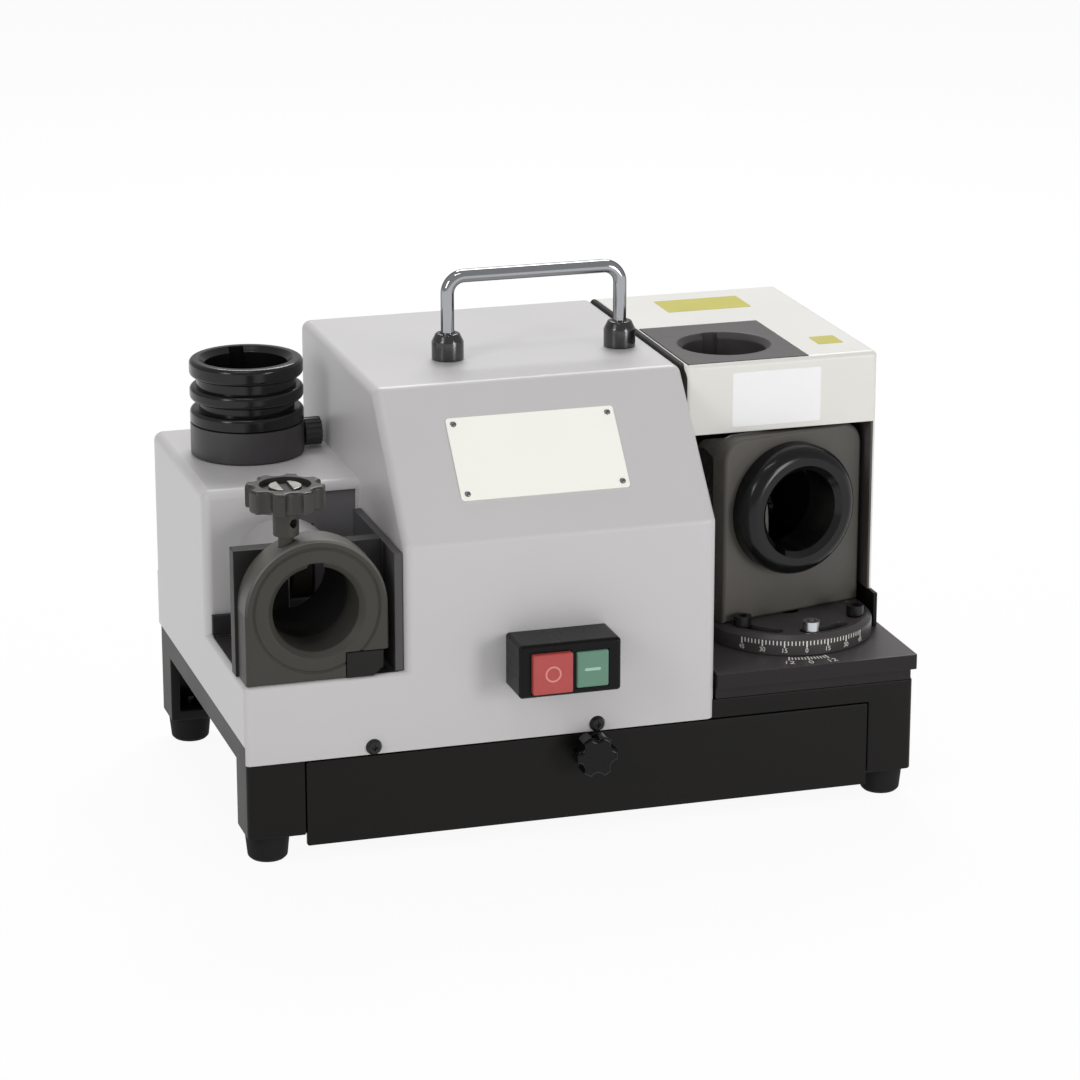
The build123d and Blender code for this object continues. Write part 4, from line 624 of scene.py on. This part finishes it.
def graduations(name, marks):
    """A row of short and long marks on an arc about Z, with its middle mark towards the front."""
    kinds = {"Count": "Int", "Long every": "Int", "Short mark": "Vector", "Long mark": "Vector"}
    tree, size = node_group(name, {label: kinds.get(label, "Float") for label in marks})
    index = put(tree, "GeometryNodeInputIndex").outputs[0]
    last = put(tree, "ShaderNodeMath", {0: size["Count"], 1: 1.0}, operation="SUBTRACT").outputs[0]
    middle = put(tree, "ShaderNodeMath", {0: last, 1: 0.5}, operation="MULTIPLY").outputs[0]
    order = put(tree, "ShaderNodeMath", {0: index, 1: middle}, operation="SUBTRACT").outputs[0]
    sweep = put(tree, "ShaderNodeMath", {0: order, 1: size["Step"]}, operation="MULTIPLY").outputs[0]
    angle = put(tree, "ShaderNodeMath", {0: sweep, 1: -pi / 2}, operation="ADD").outputs[0]
    rest = put(tree, "ShaderNodeMath", {0: index, 1: size["Long every"]}, operation="MODULO").outputs[0]
    plain = put(tree, "ShaderNodeMath", {0: rest, 1: 0.5}, operation="GREATER_THAN").outputs[0]
    extent = put(tree, "ShaderNodeMix", {0: plain, 4: size["Long mark"], 5: size["Short mark"]},
                 data_type="VECTOR").outputs[1]
    tall = put(tree, "ShaderNodeSeparateXYZ", {0: extent}).outputs[2]
    drop = put(tree, "ShaderNodeMath", {0: tall, 1: -0.5, 2: size["Top"]},
               operation="MULTIPLY_ADD").outputs[0]
    along = [put(tree, "ShaderNodeMath", {0: angle}, operation=way).outputs[0] for way in ("COSINE", "SINE")]
    x, y = (put(tree, "ShaderNodeMath", {0: part, 1: size["Radius"]}, operation="MULTIPLY").outputs[0]
            for part in along)
    spot = put(tree, "ShaderNodeCombineXYZ", {0: x, 1: y, 2: drop}).outputs[0]
    facing = put(tree, "ShaderNodeCombineXYZ", {2: angle}).outputs[0]
    row = put(tree, "GeometryNodeMeshLine", {"Count": size["Count"]}).outputs[0]
    arc = put(tree, "GeometryNodeSetPosition", {"Geometry": row, "Position": spot}).outputs[0]
    cube = put(tree, "GeometryNodeMeshCube", {"Size": (1.0, 1.0, 1.0)}).outputs[0]
    cut = put(tree, "GeometryNodeInstanceOnPoints", {"Points": arc, "Instance": cube, "Rotation": facing,
                                                     "Scale": extent}).outputs[0]
    return shaded(grown(tree, cut, white_ink, marks), white_ink)


FIGURE_SHARE, FIGURE_THICK = 0.7, 0.1 * MM


def figure(text, height):
    """A plain number as a thin flat mesh, centred on the origin in the XY plane."""
    curve = bpy.data.curves.new("figure", "FONT")
    curve.body = text
    curve.size = height / FIGURE_SHARE
    curve.extrude = FIGURE_THICK
    curve.resolution_u = 4
    curve.align_x, curve.align_y = "CENTER", "CENTER"
    return evaluated(curve, lambda holder: None)


DISC_BEVEL, MARK_DROP, DISC_FIGURE, DISC_FIGURE_DROP = 2.5 * MM, 0.4 * MM, 2.4 * MM, 5.6 * MM
TABLE_MARK_OUT, TABLE_MARK_PROUD, TABLE_FIGURE, TABLE_FIGURE_OUT = 3.6 * MM, 0.1 * MM, 4.2 * MM, 10 * MM
SCALE_ZERO = radians(-7)
scale_place = Matrix.Translation(pivot) @ Matrix.Rotation(SCALE_ZERO, 4, "Z")
rim_top = DISC_HIGH.z - DISC_BEVEL
rim_marks = graduations("disc_graduations", {
    "Count": 37, "Step": radians(2.5), "Long every": 6, "Radius": disc_radius, "Top": rim_top - MARK_DROP,
    "Short mark": (0.24 * MM, 0.55 * MM, 2.3 * MM), "Long mark": (0.24 * MM, 0.75 * MM, 3.5 * MM)})
rim_marks.transform(scale_place)
seated("disc_scale", rim_marks, "swivel_port", SLOTS["swivel_disc"])
table_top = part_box("port_table")[1].z
table_marks = graduations("table_graduations", {
    "Count": 13, "Step": radians(2), "Long every": 6, "Radius": disc_radius + TABLE_MARK_OUT,
    "Top": table_top + TABLE_MARK_PROUD,
    "Short mark": (3.4 * MM, 0.75 * MM, 0.2 * MM), "Long mark": (5.0 * MM, 0.9 * MM, 0.2 * MM)})
table_marks.transform(scale_place)
seated("table_scale", table_marks, "frame", SLOTS["port_table"])

upright = Matrix.Rotation(radians(90), 4, "X")
for degrees in (-45, -30, -15, 0, 15, 30, 45):
    number = figure(str(abs(degrees)), DISC_FIGURE)
    on_rim = Matrix.Translation((0, -disc_radius, rim_top - DISC_FIGURE_DROP)) @ upright
    number.transform(scale_place @ Matrix.Rotation(radians(degrees), 4, "Z") @ on_rim)
    seated(f"disc_number_{degrees + 45}", shaded(number, white_ink), "swivel_port", SLOTS["swivel_disc"])
for degrees in (-12, 0, 12):
    number = figure(str(abs(degrees)), TABLE_FIGURE)
    on_table = Matrix.Translation((0, -disc_radius - TABLE_FIGURE_OUT, table_top))
    number.transform(scale_place @ Matrix.Rotation(radians(degrees), 4, "Z") @ on_table)
    seated(f"table_number_{degrees + 12}", shaded(number, white_ink), "frame", SLOTS["port_table"])

# Left pocket
# A painted floor plate in the low step, with an upright guard along the hump. It is bent sheet, turned up
# against the left box, and chips have worn its paint.

# Pocket paint: a dull grey black, worn by chips.
pocket_paint = surface("worn_pocket_paint", "302e30", rough=0.5, grain_mm=1.4, relief_mm=0.03, cloud_mm=14,
                       cloud=0.12, specular=0.25)
# Guard paint: a thin dark grey coat on the upright sheet beside the hump. The dark sheet also paints the
# shade in the narrow gap between the block and the hump.
guard_paint_and_shade = surface("thin_guard_paint_and_shade", "4f4d4f", rough=0.55, grain_mm=1.4, relief_mm=0.03, cloud_mm=30,
                      cloud=0.06, specular=0.25)
BLOCK_LOW, BLOCK_HIGH = (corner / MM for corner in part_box("left_port_block"))
FLOOR_LOW, FLOOR_HIGH = (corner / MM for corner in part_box("left_port_floor"))
GUARD_FOOT, UPSTAND, BOX_FRONT = 1.0, 10.5, -13.5
pocket_floor = eased("left_port_floor", pocket_paint, edge_mm=0.4).data
pocket_floor.materials.append(guard_paint_and_shade)
for face in pocket_floor.polygons:
    face.material_index = int(face.center.z > (BLOCK_LOW.z + GUARD_FOOT) * MM)
# The upstand is a dark lip across the foot of the box front: partly a real lip of the plate, partly painted
# shade at the foot of the box.
upstand_top = BLOCK_LOW.z + UPSTAND
sheet_strip("floor_upstand", (FLOOR_LOW.x, FLOOR_HIGH.y, BLOCK_LOW.z), (BLOCK_HIGH.x, BOX_FRONT, upstand_top),
            pocket_paint, SLOTS["left_port_floor"])
# A dark strip of sheet beside the wheel's opening paints the shade that is seen through the bore of the
# block.
SHADE_STRIP_LEFT, SHADE_STRIP_RIGHT, SHADE_STRIP_TOP = -152.0, -136.0, 131.0
sheet_strip("bore_shade_strip", (SHADE_STRIP_LEFT, BOX_FRONT - SHEET, upstand_top),
            (SHADE_STRIP_RIGHT, BOX_FRONT, SHADE_STRIP_TOP), pocket_paint, SLOTS["wheel_guard"])

# Left port block
# A cast iron block with an arched front, bored for the tool holder and screwed down on the pocket's floor. A
# guide sleeve runs back from it to the box, and a small stop sits in its lower corner.

FLANGE_DEPTH, ARCH_SKIN, CROWN_FADE = 9.6, 1.5, 8.0
FACING_OUT, SLEEVE_FACING_OUT = 0.3, 0.5
BLASTED_GREY = "3d3b36"
bore_middle = sum(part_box("left_port_sleeve"), Vector()) / 2
# Bead-blasted cast iron: a dull grey with a warm, slightly green cast and a visible grain.
blasted_iron = surface("blasted_cast_iron", BLASTED_GREY, rough=0.52, grain_mm=1.4, relief_mm=0.06,
                       cloud_mm=12, cloud=0.1, specular=0.3)
# Turned and blackened bar: nearly black, with a dull gloss.
dull_black_oxide = surface("dull_black_oxide", "1d1c1b", rough=0.45, grain_mm=1.0, relief_mm=0.02,
                           cloud_mm=14, cloud=0.1, specular=0.2)
# Painted highlight on the crown of the arch: a paler iron on top, fading down its sides to the blasted grey.
crown_highlight_iron = surface("cast_iron_painted_crown_highlight", "66645f", rough=0.44, grain_mm=1.2, relief_mm=0.02, cloud_mm=12,
                      cloud=0.08, specular=0.4)
tree = crown_highlight_iron.node_tree
place = put(tree, "ShaderNodeTexCoord").outputs["Object"]
height = put(tree, "ShaderNodeSeparateXYZ", {0: place}).outputs[2]
bright = put(tree, "ShaderNodeMapRange", {"Value": height, "From Min": bore_middle.z,
                                          "From Max": (BLOCK_HIGH.z - CROWN_FADE) * MM}).outputs[0]
paint = next(node for node in tree.nodes if node.type == "BSDF_PRINCIPLED").inputs["Base Color"]
crown_highlight_colour = put(tree, "ShaderNodeMix", {0: bright, 6: linear(BLASTED_GREY), 7: paint.links[0].from_socket},
             data_type="RGBA")
tree.links.new(crown_highlight_colour.outputs[2], paint)
# Mid grey spray paint: smooth and fairly dull, on the outside of the sleeve alone.
sleeve_paint = surface("mid_grey_spray_paint", "8f8d8e", rough=0.45, grain_mm=1.8, relief_mm=0.012,
                       cloud_mm=30, cloud=0.04)

# The front of the block is blasted clean, the top of its arch carries the painted highlight, and the flange
# behind keeps its black oxide.
left_block = eased("left_port_block", blasted_iron, edge_mm=0.45).data
for finish in (dull_black_oxide, crown_highlight_iron):
    left_block.materials.append(finish)
flange_front = (BLOCK_HIGH.y - FLANGE_DEPTH) * MM
arch_radius = (BLOCK_HIGH.z - ARCH_SKIN) * MM - bore_middle.z
for face in left_block.polygons:
    outward = (face.center - bore_middle) * Vector((1, 0, 1))
    faces_out = face.normal.dot(outward) > FACING_OUT * outward.length
    on_lit_crown = outward.z > 0 and outward.length > arch_radius and faces_out
    face.material_index = 1 if face.center.y > flange_front else 2 * int(on_lit_crown)
guide_sleeve = eased("left_port_sleeve", dull_black_oxide, edge_mm=0.4).data
guide_sleeve.materials.append(sleeve_paint)
for face in guide_sleeve.polygons:
    outward = (face.center - bore_middle) * Vector((1, 0, 1))
    face.material_index = int(outward.dot(face.normal) > SLEEVE_FACING_OUT * outward.length)
eased("left_stop_block", dull_black_oxide, edge_mm=0.5)
kept("left_block_screws", blackened_steel)

# Clamp screw and knob
# A screw down through the crown of the block presses a pad on the tool holder. It is turned by a scalloped
# knob of pressed phenolic, which is held by a slotted zinc cap.

# Pressed phenolic: a brownish black that is a little chalky, with a low gloss.
pressed_phenolic = surface("pressed_phenolic_knob", "363432", rough=0.34, grain_mm=0.9, relief_mm=0.02,
                           cloud_mm=12, cloud=0.1, specular=0.35)
kept("clamp_pad", zinc_steel)
eased("clamp_screw", blasted_iron, edge_mm=0.5)
kept("clamp_knob", pressed_phenolic)

KNOB_RECESS = 3 * MM
CAP_RADIUS, CAP_SLOT, CAP_ROOT, CAP_HEIGHT = 8.2 * MM, 5.2 * MM, 0.7 * MM, 2.4 * MM
CAP_EDGE, CAP_LIFT, CAP_STEPS, CAP_BEVEL_FROM = 0.5 * MM, 0.05 * MM, 24, radians(50)
SLOT_FLOOR = 1.2 * CAP_ROOT


def slotted_head(radius, slot, root, height):
    """A turned screw head with one straight slot along Y: a thin round root under two half-round lands."""
    away = asin(slot / 2 / radius)
    sweep = [away + (pi - 2 * away) * step / CAP_STEPS for step in range(CAP_STEPS + 1)]
    lands = [[(radius * sin(side * angle), radius * cos(side * angle)) for angle in sweep]
             for side in (1, -1)]
    circle = [pi * step / CAP_STEPS for step in range(2 * CAP_STEPS)]
    work = bmesh.new()
    slab(work, [(radius * cos(angle), radius * sin(angle)) for angle in circle], 0, root)
    for land in lands:
        slab(work, land, root / 2, height)

    def prepare(holder):
        bevel = holder.modifiers.new("edge", "BEVEL")
        bevel.width = CAP_EDGE
        bevel.segments = 3
        bevel.limit_method = "ANGLE"
        bevel.angle_limit = CAP_BEVEL_FROM

    return evaluated(closed_mesh("slotted_head", work), prepare)


# Dulled zinc: a soft silver, scuffed by the screwdriver. The floor of the slot is blackened steel, darker
# than the lands.
dulled_zinc = surface("dulled_zinc_cap", "a8a69f", rough=0.3, grain_mm=1.0, relief_mm=0.02, cloud_mm=5,
                      cloud=0.1, metal=1.0)
cap = shaded(slotted_head(CAP_RADIUS, CAP_SLOT, CAP_ROOT, CAP_HEIGHT), dulled_zinc)
cap.materials.append(blackened_steel)
for face in cap.polygons:
    face.material_index = int(face.center.z < SLOT_FLOOR)
KNOB_LOW, KNOB_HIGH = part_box("clamp_knob")
cap_place = (KNOB_LOW + KNOB_HIGH) / 2
cap_place.z = KNOB_HIGH.z - KNOB_RECESS + CAP_LIFT
cap.transform(Matrix.Translation(cap_place))
seated("clamp_knob_cap", cap, "clamp_handle", "bright_steel")

# Wheel guard
# A sheet behind the opening in the front of the left box, slotted for the thin gashing wheel. It is primed
# and left without a top coat.

# Grey primer: a flat mid grey with a fine grain.
grey_primer = surface("dark_grey_primer", "757376", rough=0.6, grain_mm=1.4, relief_mm=0.03, cloud_mm=30,
                      cloud=0.06, specular=0.3)
eased("wheel_guard", grey_primer, edge_mm=0.4)

# Setting station
# A black cup screwed to the left box, with a grooved collar that turns on it and a thumb screw that locks the
# holder. All three are turned steel, blackened and oiled.

SEAT_LOW, SEAT_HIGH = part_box("setting_seat")
SEAT_PITCH, SEAT_DEPTH = 1.8, 0.015
seat_middle = [c / MM for c in (SEAT_LOW + SEAT_HIGH) / 2]
# Blackened steel, turned: the seat and thumb screw are satin, and the collar is oiled to a deep gloss.
satin_black_steel = surface("satin_black_steel", "403e40", rough=0.36, grain_mm=1.0, relief_mm=0.015,
                            cloud_mm=14, cloud=0.12, specular=0.35,
                            lathe=(seat_middle, "Z", SEAT_PITCH, SEAT_DEPTH))
oiled_black_steel = surface("oiled_black_steel", "131213", rough=0.20, grain_mm=1.0, relief_mm=0.015,
                            cloud_mm=14, cloud=0.12, specular=0.4,
                            lathe=(seat_middle, "Z", SEAT_PITCH, SEAT_DEPTH))
eased("setting_seat", satin_black_steel, edge_mm=0.5)
kept("seat_screws", blackened_steel)
kept("setting_collar", oiled_black_steel)
kept("seat_thumb_screw", satin_black_steel)

# Motor and spindle
# An induction motor on two saddles under the hump drives a shaft with a grinding wheel at each end. It shows
# only through the vents, the chutes and the ports.

# Cast aluminium: a pale grey metal with the sandy grain of the mould.
cast_aluminium = surface("cast_aluminium", "a9aaab", rough=0.45, grain_mm=1.4, relief_mm=0.05, cloud_mm=10,
                         cloud=0.08, metal=1.0)
# Varnished iron: a brown grey, dull, with the fine lines of the stack lost under the varnish.
stator_iron = surface("varnished_stator_iron", "4a4038", rough=0.5, grain_mm=1.0, relief_mm=0.04, cloud_mm=8,
                      cloud=0.1)
# Grey moulded plastic: an even grey with a low gloss.
grey_moulding = surface("grey_moulded_plastic", "8c8c8a", rough=0.45, grain_mm=1.0, relief_mm=0.015,
                        cloud_mm=12, cloud=0.05)
# Resin-bonded abrasive: dark grit that scatters light, with pores between the grains.
dark_grit = surface("resin_bonded_abrasive", "4a4640", rough=0.9, grain_mm=1.2, relief_mm=0.25, cloud_mm=1.8,
                    cloud=0.3, specular=0.2)
# Vitrified abrasive: a sugary grey grit, harder and paler than the resin wheel.
grey_grit = surface("vitrified_abrasive", "85817a", rough=0.9, grain_mm=1.2, relief_mm=0.25, cloud_mm=1.8,
                    cloud=0.3, specular=0.2)
for finish, nodes in (
        (cast_aluminium, ("motor_left_end", "motor_right_end", "right_wheel_flange", "left_wheel_flange",
                          "run_capacitor")),
        (stator_iron, ("motor_stator", "rotor", "motor_cradle")),
        (zinc_steel, ("motor_bearings", "motor_shaft", "right_wheel_hub", "left_wheel_hub", "right_wheel_nut",
                      "left_wheel_nut")),
        (grey_grit, ("right_wheel",)), (dark_grit, ("left_wheel",)), (grey_moulding, ("terminal_block",))):
    for node in nodes:
        kept(node, finish)

# Cord gland
# A black gland low on the back of the base, with a hexagon to hold it by and a domed cap. It is moulded from
# the same plastic as the switch, and a nut inside the skirt locks it.

eased("cord_gland", moulded_black, edge_mm=0.4)
kept("gland_locknut", moulded_black)

# Floor, light and camera
# The machine stands on a plain white sweep of paper under large soft lamps, whose light is plain enough for
# each colour to look as it is written. The camera sees it a little from the left and above.

SWEEP_REACH, SWEEP_GLOW, AIR_LIGHT = 12, 0.93, 0.44
floor_mesh = bpy.data.meshes.new("floor")
work = bmesh.new()
bmesh.ops.create_grid(work, x_segments=1, y_segments=1, size=SWEEP_REACH)
work.to_mesh(floor_mesh)
work.free()
floor = bpy.data.objects.new("floor", floor_mesh)
bpy.context.scene.collection.objects.link(floor)

# White paper sweep: mostly plain white to the eye and in mirrors, and still a matt surface that takes the
# machine's shadow. Rays that only carry light see the matt paper alone.
sweep_paper = bpy.data.materials.new("white_paper_sweep")
sweep_paper.use_nodes = True
tree = sweep_paper.node_tree
tree.nodes.clear()
matt = put(tree, "ShaderNodeBsdfDiffuse", {"Color": linear("f4f4f2")})
glow = put(tree, "ShaderNodeEmission", {"Color": (1, 1, 1, 1), "Strength": 1.0})
path = put(tree, "ShaderNodeLightPath").outputs
seen = put(tree, "ShaderNodeMath", {0: path["Is Camera Ray"], 1: path["Is Glossy Ray"]}, operation="MAXIMUM")
seen = put(tree, "ShaderNodeMath", {0: seen.outputs[0], 1: path["Is Transmission Ray"]}, operation="MAXIMUM")
share = put(tree, "ShaderNodeMath", {0: seen.outputs[0], 1: SWEEP_GLOW}, operation="MULTIPLY")
both = put(tree, "ShaderNodeMixShader", {0: share.outputs[0], 1: matt.outputs[0], 2: glow.outputs[0]})
put(tree, "ShaderNodeOutputMaterial", {"Surface": both.outputs[0]})
floor_mesh.materials.append(sweep_paper)

world = bpy.data.worlds.new("studio")
world.use_nodes = True
bpy.context.scene.world = world
tree = world.node_tree
tree.nodes.clear()
air = put(tree, "ShaderNodeBackground", {"Color": (1, 1, 1, 1), "Strength": AIR_LIGHT})
put(tree, "ShaderNodeOutputWorld", {"Surface": air.outputs[0]})


def lamp(name, place, aim, width, height, power):
    """A large soft box that faces a point."""
    light = bpy.data.lights.new(name, "AREA")
    light.shape = "RECTANGLE"
    light.size, light.size_y, light.energy = width, height, power
    box = bpy.data.objects.new(name, light)
    box.location = place
    box.rotation_euler = (Vector(aim) - Vector(place)).to_track_quat("-Z", "Y").to_euler()
    bpy.context.scene.collection.objects.link(box)


lamp("overhead_soft_box", place=(0.4, 1.25, 1.6), aim=(0, 0, 0.1), width=1.2, height=0.8, power=24)
lamp("left_soft_box", place=(-1.8, -1.1, 1.1), aim=(0, 0, 0.12), width=0.5, height=1.0, power=10)
lamp("right_soft_box", place=(1.1, -1.75, 0.4), aim=(0, 0, 0.12), width=0.5, height=0.75, power=11.5)
lamp("front_glint_lamp", place=(-0.4, -0.6, 1.9), aim=(0, 0, 0.15), width=0.8, height=0.1, power=3)

AZIMUTH, ELEVATION = radians(17.07), radians(17.10)
camera = bpy.data.cameras.new("camera")
camera.lens, camera.sensor_width, camera.sensor_fit = 128.96, 36.0, "HORIZONTAL"
viewer = bpy.data.objects.new("camera", camera)
viewer.location = (-0.5712, -1.8754, 0.7302)
ahead = Vector((sin(AZIMUTH) * cos(ELEVATION), cos(AZIMUTH) * cos(ELEVATION), -sin(ELEVATION)))
viewer.rotation_euler = ahead.to_track_quat("-Z", "Y").to_euler()
bpy.context.scene.collection.objects.link(viewer)
bpy.context.scene.camera = viewer
bpy.context.scene.view_settings.view_transform = "Standard"
